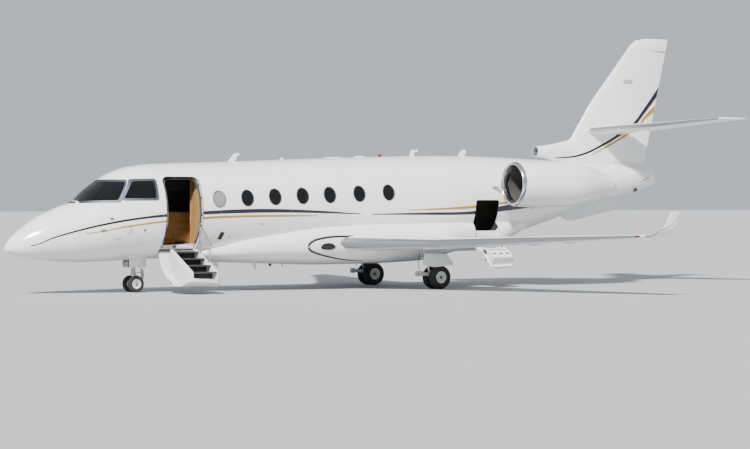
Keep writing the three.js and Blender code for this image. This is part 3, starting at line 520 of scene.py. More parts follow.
lining = liningMaterial("cabin_lining", (0.2, 0.185, 0.16), (0.26, 0.24, 0.21))
jamb = liningMaterial("doorway_jamb", (0.6, 0.57, 0.51), (0.68, 0.65, 0.59), 0.45)
bayLining = liningMaterial("bay_lining", (0.02, 0.02, 0.022), (0.035, 0.035, 0.037), 0.8)
doorWhite = liningMaterial("door_inner_paint", (0.72, 0.73, 0.72), (0.78, 0.79, 0.78), 0.35)
maple = woodMaterial("maple_veneer", (0.62, 0.32, 0.1), (0.45, 0.2, 0.05), (3.0, 3.0, 0.25))
paleWood = woodMaterial("partition_veneer", (0.5, 0.3, 0.12), (0.36, 0.2, 0.07), (3.0, 3.0, 0.25))
polished = metalMaterial("polished_metal", (0.66, 0.67, 0.69), 0.17, scale=9.0, spread=0.08)
frameMetal = metalMaterial("window_frame_metal", (0.36, 0.37, 0.4), 0.34)
steel = metalMaterial("gear_steel", (0.5, 0.51, 0.53), 0.32)
darkMetal = metalMaterial("dark_metal", (0.14, 0.14, 0.15), 0.45)
seamMetal = metalMaterial("plate_metal", (0.42, 0.43, 0.45), 0.35)
windowFrame = metalMaterial("window_frame", (0.13, 0.15, 0.2), 0.42, scale=30.0)
cockpitGlass = glassMaterial("cockpit_glass", (0.1, 0.115, 0.125))
cabinGlass = glassMaterial("cabin_glass", (0.2, 0.215, 0.225), 5.3)
rubber = rubberMaterial("seal_rubber")
print("materials made")


# Fuselage

fuselage = {
    # station, top, height of greatest width, bottom, half width
    "sections": [
        (0, 1.085, 1.06, 1.035, 0.025), (0.045, 1.19, 1.075, 0.99, 0.105), (0.13, 1.3, 1.095, 0.945, 0.18),
        (0.388, 1.53, 1.15, 0.857, 0.35), (0.856, 1.835, 1.27, 0.788, 0.555), (1.346, 2.045, 1.365, 0.752, 0.71),
        (1.678, 2.167, 1.43, 0.735, 0.795), (1.984, 2.433, 1.5, 0.733, 0.865), (2.31, 2.665, 1.58, 0.742, 0.93),
        (2.648, 2.85, 1.69, 0.752, 0.99), (3.026, 2.975, 1.8, 0.768, 1.05), (3.45, 3.041, 1.89, 0.79, 1.105),
        (3.981, 3.075, 1.93, 0.792, 1.145), (5.147, 3.113, 1.943, 0.773, 1.17), (8.467, 3.24, 2.07, 0.9, 1.17),
        (10.6, 3.308, 2.15, 0.985, 1.17), (11.853, 3.329, 2.19, 1.04, 1.162),
        (12.78, 3.325, 2.23, 1.125, 1.135), (13.867, 3.291, 2.31, 1.32, 1.035),
        (14.722, 3.251, 2.4, 1.555, 0.9), (15.7, 3.205, 2.52, 1.85, 0.71),
        (16.7, 3.16, 2.64, 2.13, 0.5), (17.7, 3.125, 2.77, 2.385, 0.29), (18.49, 3.105, 2.87, 2.625, 0.07),
    ],
    "around": 96,
    "step": 0.08,
    "middle": 2.0,
    "wall": 0.08,
    "tailWall": 0.03,
    "joints": {"nose": 0.95, "bulkhead": 1.72, "forward": 5.0, "aft": 11.9, "tail": 15.25, "end": 18.49},
}


# Rings of the fuselage at given stations: an upper and a lower half ellipse that share their width,
# grown outward by an offset. The angle runs from starboard over the top.
def bodyRings(stations, grow=0.0):
    top, belt, bottom, half = smoothRows(fuselage["sections"], stations).T[:, :, None]
    t = circle(fuselage["around"])
    tall = np.where(np.sin(t) > 0, top - belt, belt - bottom)
    x = np.broadcast_to(np.asarray(stations, float)[:, None], (len(stations), len(t)))
    return np.stack([x, (half + grow) * np.cos(t), belt + (tall + grow) * np.sin(t)], -1)


# How far out the skin lies at a station and a height, less an inset.
def skinAt(station, z, inset=0.0):
    top, belt, bottom, half = smoothRows(fuselage["sections"], station)[0]
    tall = (top - belt if z > belt else belt - bottom) - inset
    return float((half - inset) * math.sqrt(max(0.0, 1 - ((z - belt) / tall) ** 2)))


def stationsOf(low, high, step=None):
    step = step or fuselage["step"]
    return np.linspace(low, high, max(2, int(math.ceil((high - low) / step)) + 1))


# A hollow length of fuselage: the skin, then the lining back again. Where the lining stops inside
# its own length, both ends there are closed by fans.
def hull(low, high, wall, innerLow=None):
    outer = bodyRings(stationsOf(low, high))
    inner = bodyRings(stationsOf(innerLow or low, high)[::-1], -wall)
    rows = np.concatenate([outer, inner])
    closed = innerLow is not None
    return grid(rows, wrapRows=not closed, ends=closed)


# A thin layer between two offsets from the skin.
def layer(low, high, outer, inner, step=0.04):
    stations = stationsOf(low, high, step)
    return grid(np.concatenate([bodyRings(stations, outer), bodyRings(stations[::-1], inner)]), wrapRows=True)


windows = {
    "centres": [(4.976, 2.219), (5.721, 2.246), (6.463, 2.273), (7.211, 2.297), (7.959, 2.32), (8.783, 2.35),
                (9.612, 2.381)],
    "half": (0.16, 0.193),
    "retainer": 0.016,
    "windshield": [(1.45, 2.172), (2.5, 2.19), (2.768, 2.63), (1.9, 2.63)],
    "sideWindow": [(2.622, 2.232), (3.39, 2.236), (3.42, 2.652), (2.9, 2.642)],
    "centrePost": 0.034, "sideNear": 0.3,
    "glassDepth": 0.022,
    "frame": 0.054,
}
entry = {"front": 3.62, "rear": 4.53, "top": 2.74, "sill": 0.937, "radius": 0.15, "reach": -0.6,
         "hinge": (-0.6, 0.982), "open": 106, "latches": (1.45, 1.85, 2.25, 2.55)}
baggage = {"front": 12.15, "rear": 12.85, "top": 2.2, "sill": 1.105, "radius": 0.15, "reach": -1.02,
           "hinge": (-1.02, 1.15), "open": 122}
doorGap = 0.006
widest = 1.3  # further out than any skin


def sided(outline, side, near, far):
    return prism(outline, *sorted((side * near, side * far)))


def cabinHoles(grow, sides=(-1, 1)):
    half = (windows["half"][0] + grow, windows["half"][1] + grow)
    return together(*(sided(ovalOutline(c, half), side, 0.7, widest) for c in windows["centres"]
                      for side in sides))


# An outline moved outward from its middle, side by side.
def spread(outline, by):
    p = np.asarray(outline, float)
    return p + np.sign(p - p.mean(0)) * by


# A cockpit window's prism from a distance beside the middle line outward.
def cockpitPrism(key, side, grow, near, corner=0.05):
    return sided(rounded(spread(windows[key], grow), corner), side, near, widest)


def cockpitHoles(grow):
    nears = {"windshield": windows["centrePost"] - grow, "sideWindow": windows["sideNear"]}
    return [together(*(cockpitPrism(key, side, grow, near) for side in (-1, 1))) for key, near in nears.items()]


# A doorway's prism: square low corners, round high ones.
def doorway(door, grow=0.0):
    low, high = door["sill"] - grow, door["top"] + grow
    front, rear, r = door["front"] - grow, door["rear"] + grow, door["radius"]
    t = np.linspace(0, np.pi / 2, 8)
    right = np.stack([rear - r + r * np.cos(t), high - r + r * np.sin(t)], -1)
    left = np.stack([front + r - r * np.sin(t), high - r + r * np.cos(t)], -1)
    outline = np.vstack([[(front, low), (rear, low)], right, left])
    return prism(outline, -1.5, door["reach"] + grow)


# The groove in a doorway's sill where the door's hinge lies.
def sillGroove(door):
    return (tube([(door[end], *door["hinge"]) for end in ("front", "rear")], 0.044, 32), "DIFFERENCE",
            darkMetal)


# The mouth of the baggage bay, above the doorway's sill.
def bayMouth():
    outline = rounded(rectangle(12.15, 12.85, 1.42, 2.2), 0.06)
    return (prism(outline, -1.5, -0.65), "DIFFERENCE", bayLining)


def makeFuselage():
    j = fuselage["joints"]
    tip = j["nose"] * (1 - np.cos(np.linspace(0, np.pi / 2, 28)))
    piece("radome_skin", grid(bodyRings(tip), ends=True), whitePaint, replaces=["radome"])
    forward = [*cockpitHoles(0.0), cabinHoles(0.0), (doorway(entry), "DIFFERENCE", jamb), sillGroove(entry)]
    skins = [whitePaint, lining]
    piece("forward_skin", hull(j["nose"], j["forward"], fuselage["wall"], j["bulkhead"]), skins,
          replaces=["forward_fuselage"], cuts=forward, lined=True)
    piece("cabin_skin", hull(j["forward"], j["aft"], fuselage["wall"]), skins,
          replaces=["cabin_fuselage"], cuts=[cabinHoles(0.0)], lined=True)
    piece("aft_skin", hull(j["aft"], j["tail"], fuselage["tailWall"]), skins,
          replaces=["aft_fuselage"], cuts=[bayMouth()], lined=True)
    piece("tail_skin", hull(j["tail"], j["end"], fuselage["tailWall"], j["tail"] + 0.01), whitePaint,
          replaces=["tail_cone"])


makeFuselage()
print("fuselage made")


def makeGlass():
    skin = layer(1.36, 3.6, -0.003, -0.003 - windows["glassDepth"])
    for name, side in bothSides:
        for label, key, near, node in (
                ("windshield_glass_", "windshield", windows["centrePost"], "windshield_"),
                ("side_glass_", "sideWindow", windows["sideNear"], "cockpit_window_")):
            piece(label + name, skin, cockpitGlass, replaces=[node + name],
                  keeps=[cockpitPrism(key, side, -0.002, near)])
        panes = layer(4.7, 9.9, -0.003, -0.015, 0.06)
        piece("cabin_glass_" + name, panes, cabinGlass, replaces=["cabin_windows_" + name],
              keeps=[cabinHoles(-0.001, [side])])
        ring = layer(4.7, 9.9, 0.0016, -0.01, 0.06)
        piece("window_retainers_" + name, ring, frameMetal,
              cuts=[cabinHoles(-0.004, [side])], keeps=[cabinHoles(windows["retainer"], [side])])
    frames = layer(1.33, 3.62, 0.002, -0.01)
    front, rear = cockpitHoles(-0.003)
    for label, hole, key, near in (("windshield_frame", front, "windshield", 0.001),
                                   ("side_window_frame", rear, "sideWindow", windows["sideNear"])):
        grown = together(*(cockpitPrism(key, side, windows["frame"], near, 0.07) for side in (-1, 1)))
        piece(label, frames, windowFrame, cuts=[hole], keeps=[grown])


makeGlass()
print("glass made")


# Belly fairing: a superellipse below its greatest width and an ellipse above

fairing = {
    # station, half width, height of greatest width, bottom, top
    "sections": [
        (4.35, 0.48, 0.95, 0.82, 1.03), (5.0, 0.88, 0.96, 0.715, 1.17), (5.75, 1.06, 1.03, 0.672, 1.43),
        (6.7, 1.19, 1.1, 0.636, 1.63), (7.9, 1.275, 1.15, 0.598, 1.82), (9.5, 1.29, 1.16, 0.606, 1.92),
        (11.0, 1.29, 1.19, 0.66, 1.92), (12.1, 1.12, 1.4, 0.88, 1.88), (12.9, 1.12, 1.4, 0.9, 1.86),
        (13.6, 0.88, 1.56, 1.2, 1.8), (14.2, 0.52, 1.72, 1.47, 1.82),
    ],
    "squareness": 2.5,
    "around": 72,
}


def fairingShape(step=0.08, grow=0.0):
    stations = stationsOf(fairing["sections"][0][0], fairing["sections"][-1][0], step)
    half, belt, bottom, top = smoothRows(fairing["sections"], stations).T[:, :, None]
    t = circle(fairing["around"])
    c, s = np.cos(t), np.sin(t)
    power = np.where(s < 0, 2 / fairing["squareness"], 1.0)
    y = np.sign(c) * np.abs(c) ** power * (half + grow)
    z = belt + np.sign(s) * np.abs(s) ** power * (np.where(s > 0, top - belt, belt - bottom) + grow)
    x = np.broadcast_to(stations[:, None], y.shape)
    return grid(np.stack([x, y, z], -1), ends=True)


# The fuselage's outer form, to cut others by, set in a little so that they meet the skin.
def bodyCore(low, high, grow=-0.004):
    return grid(bodyRings(stationsOf(low, high), grow), ends=True)


def makeFairing():
    piece("belly_fairing_skin", fairingShape(), plainPaint, replaces=["belly_fairing"],
          cuts=[bodyCore(4.0, 14.6), bayMouth(), (doorway(baggage), "DIFFERENCE", doorWhite),
                sillGroove(baggage)])


makeFairing()
print("fairing made")


# Flying surfaces

foilHalf = (1 - np.cos(np.linspace(0, np.pi, 30))) / 2


# Half thickness of a foil in chords, for a thickness ratio of one, at a share of the chord.
def foilThickness(u):
    return 5 * (0.2969 * np.sqrt(u) - 0.126 * u - 0.3516 * u**2 + 0.2843 * u**3 - 0.1015 * u**4)


# Foils from columns of leading edge, trailing edge, y, z, thickness ratio and cant: each goes from
# the upper trailing edge round the nose and back, its thickness turned by the cant. The pattern
# places are the share of the chord, negative below, and the number given as along.
def foils(leading, trailing, y, z, ratio, cant, along, grow=0.0):
    u = np.concatenate([foilHalf[::-1], foilHalf[1:]])
    sign = np.concatenate([np.ones(len(foilHalf)), -np.ones(len(foilHalf) - 1)])
    chord = (trailing - leading)[:, None]
    t = sign * (chord * ratio[:, None] * foilThickness(u) + grow)
    turn = np.radians(cant)[:, None]
    x = leading[:, None] + u * chord - grow * (1 - u)
    points = np.stack([x, y[:, None] - t * np.sin(turn), z[:, None] + t * np.cos(turn)], -1)
    places = np.stack([np.broadcast_to(u * sign, x.shape), np.broadcast_to(along[:, None], x.shape)], -1)
    return grid(points, places, ends=True)


wing = {
    # distance out, leading edge, trailing edge, height, thickness ratio
    "rows": [(0.85, 7.88, 11.42, 1.15, 0.13), (1.3, 8.19, 11.5, 1.15, 0.13), (3.17, 9.47, 11.77, 1.165, 0.12),
             (5.87, 10.8, 12.26, 1.278, 0.115), (8.45, 12.07, 12.77, 1.375, 0.11)],
    # step, distance out, leading edge, trailing edge, height, cant
    "tip": [(0, 8.4505, 12.07, 12.77, 1.375, 0), (1, 8.59, 12.135, 12.7, 1.395, 25),
            (2, 8.7, 12.205, 12.66, 1.455, 50), (3, 8.765, 12.28, 12.665, 1.54, 72),
            (4, 8.835, 12.508, 12.753, 1.942, 80)],
    "tipRatio": 0.1,
    "aileron": {"inner": 5.95, "outer": 8.15, "share": 0.74},
}
tail = {
    "rows": [(0.04, 16.184, 18.16, 4.035, 0.12), (1.7, 17.18, 18.55, 4.165, 0.11),
             (3.33, 18.14, 18.928, 4.292, 0.095),
             (3.43, 18.27, 18.952, 4.3, 0.06)],
    "elevator": {"inner": 0.246, "outer": 3.324, "share": 0.68, "root": 17.35, "cutAway": 0.56},
}
fin = {
    # height, leading edge, trailing edge, thickness ratio
    "rows": [(2.9, 15.15, 18.104, 0.11), (3.64, 15.6, 18.281, 0.11), (3.859, 15.83, 18.333, 0.11),
             (4.779, 16.433, 18.552, 0.105), (6.327, 17.717, 18.922, 0.1), (6.469, 17.887, 18.955, 0.08),
             (6.529, 18.24, 18.97, 0.03)],
    "rudder": {"low": 3.206, "high": 6.194, "x": 17.135, "slope": 0.43, "topFall": 0.06},
    # the inlet at its root: station, middle height, half height, half width
    "duct": [(14.7, 3.475, 0.132, 0.132), (14.9, 3.468, 0.158, 0.138), (15.3, 3.44, 0.245, 0.15),
             (15.8, 3.4, 0.39, 0.132)],
    "bore": 0.118,
}
hingeGap = 0.006
sweepGap = 0.005


# Foils of a wing or tailplane from its rows, or from a place further in.
def acrossFoils(rows, low=None, step=0.12, **more):
    first, last = rows[0][0], rows[-1][0]
    at = np.linspace(first if low is None else low, last, 2 + int((last - first) / step))
    at = np.unique(np.concatenate([at, [r[0] for r in rows if at[0] < r[0] < at[-1]]]))
    leading, trailing, z, ratio = straightRows(rows, at).T
    return foils(leading, trailing, at, z, ratio, np.zeros(len(at)), at, **more)


# Where a hinge line runs on a surface: its two points and the foil's half thickness there.
def hingeAcross(rows, y, share):
    leading, trailing, z, ratio = straightRows(rows, y)
    chord = trailing - leading
    return np.array([leading + share * chord, y, z]), 0.97 * chord * ratio * foilThickness(share)


def hingeUp(z):
    leading, trailing, ratio = straightRows(fin["rows"], z)
    x = fin["rudder"]["x"] + fin["rudder"]["slope"] * (z - fin["rudder"]["low"])
    chord = trailing - leading
    return np.array([x, 0, z]), 0.995 * chord * ratio * foilThickness((x - leading) / chord)


# The round nose of a hinged surface, or with a gap the cove that it turns in.
def hingeRod(start, end, gap=0.0):
    axis = (end[0] - start[0]) / np.linalg.norm(end[0] - start[0]) * gap
    return tube([start[0] - axis, end[0] + axis], [start[1] + gap, end[1] + gap], 40)


def behindLine(a, b, inward, outward):
    near, far = a[1] - inward, b[1] + outward
    return prism([(a[0], near), (b[0], far), (b[0] + 3, far), (a[0] + 3, near)], 0.9, 4.9, "z")


# A surface with a part that turns in it.
def hinged(names, shape, ends, region, movingRegion, material, bodies, replaces, more=()):
    piece(names[0], shape, material, bodies[0], replaces[0], cuts=[region, hingeRod(*ends, hingeGap), *more])
    piece(names[1], shape, material, bodies[1], replaces[1], keeps=[movingRegion], adds=[hingeRod(*ends)])


# Paint of a foil, by its pattern places: lines along it and ribs across it as (place, from, to),
# and a bare metal leading edge (from, to, share of the chord).
def surfacePaint(name, metalEdge, lines=(), ribs=(), sets=()):
    s = Shader(name, Metallic=0.0, IOR=1.5, Coat_Weight=0.5, Coat_Roughness=0.07)
    uv = s.node("ShaderNodeUVMap", {"uv_map": "surface"})
    u, v, _ = s.parts(uv)
    share = abs(u)
    color = s.mix(s.noise(1.3, 3.0) * 0.4, white, offWhite)
    drift = s.noise(7.0, 4.0, stretch=(0.12, 1, 1))
    color = s.mix(drift * s.between(share, 0.3, 1.0) * 0.3, color, (0.66, 0.66, 0.65))
    color = striped(s, color, sets, s.station, s.z)
    height = s.noise(90.0, 2.0) * 0.02
    marks = [s.band(share - at, 0.0012, 0.0012) * (v > low) * (v < high) for at, low, high in lines]
    marks += [s.band(v - at, 0.0025, 0.002) * (share > low) * (share < high) for at, low, high in ribs]
    if marks:
        seams = s.either(*marks)
        color = s.mix(seams * 0.75, color, (0.25, 0.26, 0.27))
        height = height - seams
    low, high, wide = metalEdge
    bare = (1 - s.between(share, wide, wide + 0.004)) * (v > low) * (v < high)
    s.set(Base_Color=s.mix(bare, color, (0.36, 0.37, 0.39)), Metallic=bare * 0.9,
          Roughness=s.noise(6.0, 3.0) * 0.1 + 0.17 + bare * 0.12)
    return s.bump(height, 0.0015)


wingPaint = surfacePaint("wing_paint", (1.25, 8.3, 0.055),
                         lines=[(0.735, 1.35, 5.92), (0.6, 2.2, 5.6), (0.16, 1.4, 8.3)],
                         ribs=[(1.36, 0.735, 1), (3.62, 0.735, 1), (5.93, 0.735, 1), (2.2, 0.6, 0.735),
                               (3.35, 0.6, 0.735), (4.5, 0.6, 0.735), (5.6, 0.6, 0.735), (3.17, 0, 0.16),
                               (5.87, 0, 0.16), (8.3, 0, 1)])
tailPaint = surfacePaint("tailplane_paint", (0.2, 3.3, 0.05), lines=[(0.15, 0.3, 3.4)], ribs=[(1.7, 0, 0.68)])
finPaint = surfacePaint("fin_paint", (5.0, 6.5, -1.0), lines=[(0.14, 3.7, 6.4)], ribs=[(6.25, 0, 1)],
                        sets=[finStripes])
inletPaint = paint("inlet_paint", [{"navyFin": finStripes["navyFin"]}])
wingletPaint = surfacePaint("winglet_paint", (0.0, 5.0, 0.05), sets=[wingletStripe])


def makeWings():
    a = wing["aileron"]
    ends = [hingeAcross(wing["rows"], y, a["share"]) for y in (a["inner"] + hingeGap, a["outer"] - hingeGap)]
    (start, _), (end, _) = ends
    shape = acrossFoils(wing["rows"])
    region = behindLine(start, end, hingeGap, hingeGap + sweepGap)
    moving = behindLine(start, end, 0, 0)
    u = np.linspace(0, 4, 40)
    y, leading, trailing, z, cant = smoothRows(wing["tip"], u).T
    winglet = foils(leading, trailing, y, z, np.full(40, wing["tipRatio"]), cant, u)
    root = fairingShape(0.12, -0.006)
    for name, side in bothSides:
        flip = [mirrored(s, side) for s in (shape, region, moving, winglet)]
        sideEnds = [(p * [1, side, 1], r) for p, r in ends]
        hinged(("wing_skin_" + name, "aileron_skin_" + name), flip[0], sideEnds, flip[1], flip[2], wingPaint,
               ("airframe", "aileron_panel_" + name), (["wing_" + name], ["aileron_" + name]), [root])
        piece("winglet_skin_" + name, flip[3], wingletPaint, replaces=["winglet_" + name])


def makeTail():
    e = tail["elevator"]
    ends = [hingeAcross(tail["rows"], y, e["share"]) for y in (e["inner"], e["outer"])]
    (start, _), (end, _) = ends
    outer = e["outer"] + hingeGap + sweepGap
    x0, x1, back, inner = start[0], end[0], end[0] + 0.9, e["inner"]
    bay = prism([(e["root"], 0), (e["root"], inner), (x0, inner), (x1, outer), (back, outer), (back, 0)],
                3.5, 4.9, "z")
    moving = prism([(x0, inner), (x1, e["outer"]), (back, e["outer"]), (x0 + 0.7, e["cutAway"])], 3.5, 4.9, "z")
    shape = acrossFoils(tail["rows"], 0.0)
    piece("tailplane_box", block((16.6, -0.3, 3.99), (17.15, 0.3, 4.08)), tailPaint, bevel=0.01)
    for name, side in bothSides:
        sideEnds = [(p * [1, side, 1], r) for p, r in ends]
        hinged(("tailplane_skin_" + name, "elevator_skin_" + name), mirrored(shape, side), sideEnds,
               mirrored(bay, side), mirrored(moving, side), tailPaint, ("airframe", "elevator_panel_" + name),
               (["tailplane"] if side < 0 else [], ["elevator_" + name]))


def makeFin():
    r = fin["rudder"]
    at = np.unique(np.concatenate([np.linspace(2.9, 6.327, 40), np.linspace(6.327, 6.529, 8)]))
    leading, trailing, ratio = straightRows(fin["rows"], at).T
    shape = foils(leading, trailing, np.zeros(len(at)), at, ratio, np.full(len(at), 90.0), at)
    ends = [hingeUp(r["low"]), hingeUp(r["high"])]
    (low, _), (high, _) = ends

    def behind(below, above, fall):
        far, z0, z1 = high[0] + 1, r["low"] - below, r["high"] + above
        front = (low[0] - r["slope"] * below, z0), (high[0] + r["slope"] * above, z1)
        return prism([front[0], (far, z0), (far, z1 - fall), front[1]], -0.4, 0.4)

    hinged(("fin_skin", "rudder_skin"), shape, ends, behind(0.026, 0.014, 0), behind(0, -0.008, r["topFall"]),
           finPaint, ("airframe", "rudder_panel"), (["fin"], ["rudder"]))
    stations = stationsOf(14.7, 15.8, 0.04)
    middle, tall, wide = smoothRows(fin["duct"], stations).T[:, :, None]
    t = circle(48)
    y, z = wide * np.cos(t), middle + tall * np.sin(t)
    duct = grid(np.stack([np.broadcast_to(stations[:, None], y.shape), y, z], -1), ends=True)
    bore = tube([(14.69, 0, 3.475), (15.12, 0, 3.475)], fin["bore"], 40)
    piece("fin_inlet", duct, [inletPaint, seamMetal], cuts=[(bore, "DIFFERENCE", seamMetal)], bevel=0.006)


def makeStrakes():
    outline = rounded([(15.09, 1.72), (15.34, 1.654), (16.98, 1.951), (17.15, 2.42), (15.4, 2.3)], 0.05)
    plate = prism(outline, -0.018, 0.018)
    lean = math.tan(math.radians(38))
    points = plate[0].copy()
    points[:, 1] += 0.15 + (2.35 - points[:, 2]) * lean
    for name, side in bothSides:
        piece("strake_skin_" + name, mirrored((points, *plate[1:]), side), plainPaint,
              replaces=["strake_" + name], bevel=0.008)


makeWings()
makeTail()
makeFin()
makeStrakes()
print("flying surfaces made")


# Engines

engine = {
    "y": 1.95, "z": 2.6,
    "cowl": [(12.9, 0.566), (13.2, 0.582), (13.6, 0.59), (14.2, 0.586), (14.56, 0.548), (14.9, 0.47),
             (15.24, 0.362)],
    "nozzle": [(15.234, 0.357), (15.35, 0.318), (15.5, 0.272), (15.6, 0.243), (15.7, 0.216)],
    "duct": 0.45, "vanes": 26,
    "lip": {"front": 12.7, "back": 12.9, "middle": 0.506, "outer": 0.06, "inner": 0.056},
    "fan": {"blades": 18, "station": 13.405, "root": 0.1, "tip": 0.44, "chord": 0.15, "pitch": (22, 58)},
}


# Soot toward the nozzle, the cowl's seams and the outline of its lower door.
def nacellePaint():
    s = Shader("nacelle_paint", Metallic=0.0, IOR=1.5, Coat_Weight=0.6, Coat_Roughness=0.06)
    color = s.mix(s.noise(1.5, 3.0) * 0.4, white, offWhite)
    soot = s.between(s.station, 14.6, 15.7) * s.noise(4.0, 5.0, stretch=(0.2, 1, 1))
    color = s.mix(soot * 0.35, color, (0.42, 0.41, 0.4))
    front, rear, height = 13.12, 14.94, 2.76
    long = s.band(s.z - height, 0.003, 0.002) * (s.station > front) * (s.station < rear)
    ends = s.either(*(s.band(s.station - x, 0.003, 0.002) for x in (front, rear)))
    marks = s.either(s.band(s.station - 13.3, 0.002, 0.0015), s.band(s.station - 15.24, 0.003, 0.002),
                     long, ends * (s.z < height))
    color = s.mix(marks * 0.8, color, seamGrey)
    s.set(Base_Color=color, Roughness=s.noise(5.0, 3.0) * 0.1 + 0.15)
    return s.bump(s.noise(90.0, 2.0) * 0.02 - marks, 0.0015)


# The lip is bare metal as far as its seam, and inside; behind the seam it is painted.
def lipFinish(e):
    s = Shader("lip_finish", IOR=1.5)
    across, up = abs(s.y) - e["y"], s.z - e["z"]
    radius = s.maths("SQRT", across * across + up * up)
    painted = s.between(s.station, 12.798, 12.802) * (radius > e["lip"]["middle"] + 0.012)
    streak = s.noise(9.0, 3.0)
    metal = s.mix(streak, (0.66, 0.67, 0.69), (0.53, 0.54, 0.56))
    s.set(Base_Color=s.mix(painted, metal, white), Metallic=1 - painted, Roughness=streak * 0.08 + 0.16)
    return s.bump(s.noise(90.0, 2.0) * 0.02 - s.band(s.station - 12.8, 0.002, 0.0015), 0.0012)


nacelleWhite = nacellePaint()
lipMetal = lipFinish(engine)
fanMetal = metalMaterial("fan_blade_metal", (0.42, 0.43, 0.45), 0.26, scale=20.0)
# The intake's liner is drawn near black: its own dark colour, deepened as painted shade inside the duct.
darkLinerAndPaintedShade = liningMaterial("duct_liner", (0.035, 0.033, 0.032), (0.07, 0.066, 0.064), 0.6)
hotMetal = metalMaterial("exhaust_metal", (0.36, 0.33, 0.3), 0.35, scale=12.0)


# A fan blade: its chord turns with the radius from one pitch to another, its section is a thin
# curved plate, and its outline widens to the tip.
def fanShape(e):
    f = e["fan"]
    r = np.linspace(f["root"], f["tip"], 12)[:, None]
    share = (r - f["root"]) / (f["tip"] - f["root"])
    c = np.concatenate([np.linspace(-0.5, 0.5, 9), np.linspace(0.5, -0.5, 9)[1:-1]])
    side = np.concatenate([np.ones(9), -np.ones(7)])
    chord = f["chord"] * (0.62 + 0.38 * share)
    thick = 0.007 * (1.15 - share) * np.sqrt(np.clip(1 - (2 * c) ** 2, 0, 1)) * side
    bow = 0.1 * chord * (1 - (2 * c) ** 2)
    pitch = np.radians(f["pitch"][0] + (f["pitch"][1] - f["pitch"][0]) * share)
    along, across = c * chord, thick + bow
    x = f["station"] + along * np.cos(pitch) + across * np.sin(pitch)
    around = -along * np.sin(pitch) + across * np.cos(pitch)
    blades = []
    for k in range(f["blades"]):
        turn = 2 * np.pi * k / f["blades"] + around / r
        y, z = e["y"] + r * np.sin(turn), e["z"] + r * np.cos(turn)
        blades.append(grid(np.stack([x, y, z], -1), ends=True))
    return blades


def dense(table, count):
    at = np.linspace(table[0][0], table[-1][0], count)
    return np.column_stack([at, smoothRows(table, at)])


def makeEngines():
    e = engine
    axis = (0, e["y"], e["z"])
    lip = e["lip"]
    a = np.linspace(0, np.pi, 33)
    deep = lip["back"] - lip["front"]
    x = lip["back"] - deep * np.sin(a)
    r = lip["middle"] + np.cos(a) * np.where(a < np.pi / 2, lip["outer"], lip["inner"])
    lipShape = turned(np.column_stack([x, r]), axis, count=96)
    cowl = dense(e["cowl"], 40)
    start, stop, duct = lip["back"] + 0.0005, 13.48, e["duct"]
    inner = [(15.24, 0.344), (14.87, duct + 0.006), (14.5, duct + 0.012), (start, duct + 0.012)]
    liner = turned([(start, duct + 0.0115), (stop, duct + 0.0115), (stop, duct), (start, duct)], axis, count=96)
    cowlShape = turned(np.vstack([cowl, inner]), axis, count=96)
    nozzle = dense(e["nozzle"], 24)
    nozzleIn = np.column_stack([nozzle[::-1, 0], nozzle[::-1, 1] - 0.014])
    nozzleShape = turned(np.vstack([nozzle, nozzleIn]), axis, count=96)
    core = np.vstack([[(13.481, 0.0001), (13.481, 0.4496), (14.86, 0.4496), (14.86, 0.24)],
                      dense([(14.88, 0.238), (15.1, 0.2), (15.35, 0.13), (15.56, 0.05), (15.58, 0.0001)], 16)])
    coreShape = turned(core, axis, count=64, solid=True)
    t = np.linspace(0, np.pi / 2, 20)
    spin = np.vstack([np.column_stack([13.36 - 0.24 * np.cos(t), 0.0005 + 0.1275 * np.sin(t) ** 1.2]),
                      [(13.468, 0.128)]])
    spinner = turned(spin, axis, count=48, solid=True)
    vanes = []
    out = np.linspace(0.136, 0.448, 4)[:, None]
    for k in range(e["vanes"]):
        off = np.array([-0.01, -0.004, 0.01, 0.004]) / out + 2 * np.pi * k / e["vanes"]
        x = np.broadcast_to([13.458, 13.463, 13.48, 13.475], off.shape)
        y, z = e["y"] + out * np.sin(off), e["z"] + out * np.cos(off)
        vanes.append(grid(np.stack([x, y, z], -1), ends=True))
    fan = together(*fanShape(e), spinner)
    for name, side in bothSides:
        for label, shape, material, node in (
                ("intake_lip_skin_", lipShape, lipMetal, "intake_lip_"),
                ("cowl_", cowlShape, nacelleWhite, "nacelle_"),
                ("duct_liner_", liner, darkLinerAndPaintedShade, "nacelle_"),
                ("nozzle_", nozzleShape, nacelleWhite, "nacelle_"),
                ("core_", coreShape, hotMetal, "engine_core_")):
            piece(label + name, mirrored(shape, side), material, replaces=[node + name])
        piece("stator_vanes_" + name, mirrored(together(*vanes), side), darkMetal)
        piece("fan_rotor_" + name, mirrored(fan, side), fanMetal, "rotor_" + name, ["fan_" + name])


def makePylons():
    rows = [(0.4, 13.45, 16.95, 2.72, 0.075), (1.65, 13.45, 16.25, 2.66, 0.08)]
    shape = acrossFoils(rows, step=0.06)
    axis = (0, engine["y"], engine["z"])
    skin = np.vstack([[(13.0, 0.0001)], dense(engine["cowl"], 40)[2:], dense(engine["nozzle"], 24),
                      [(15.7, 0.0001)]])
    core = turned(skin - [0, 0.004] * (skin > 0.01), axis, count=64, solid=True)
    for name, side in bothSides:
        piece("pylon_skin_" + name, mirrored(shape, side), plainPaint, replaces=["pylon_" + name],
              cuts=[bodyCore(13.0, 17.3), mirrored(core, side)])


makeEngines()
makePylons()
print("engines made")


# Doors and the airstair

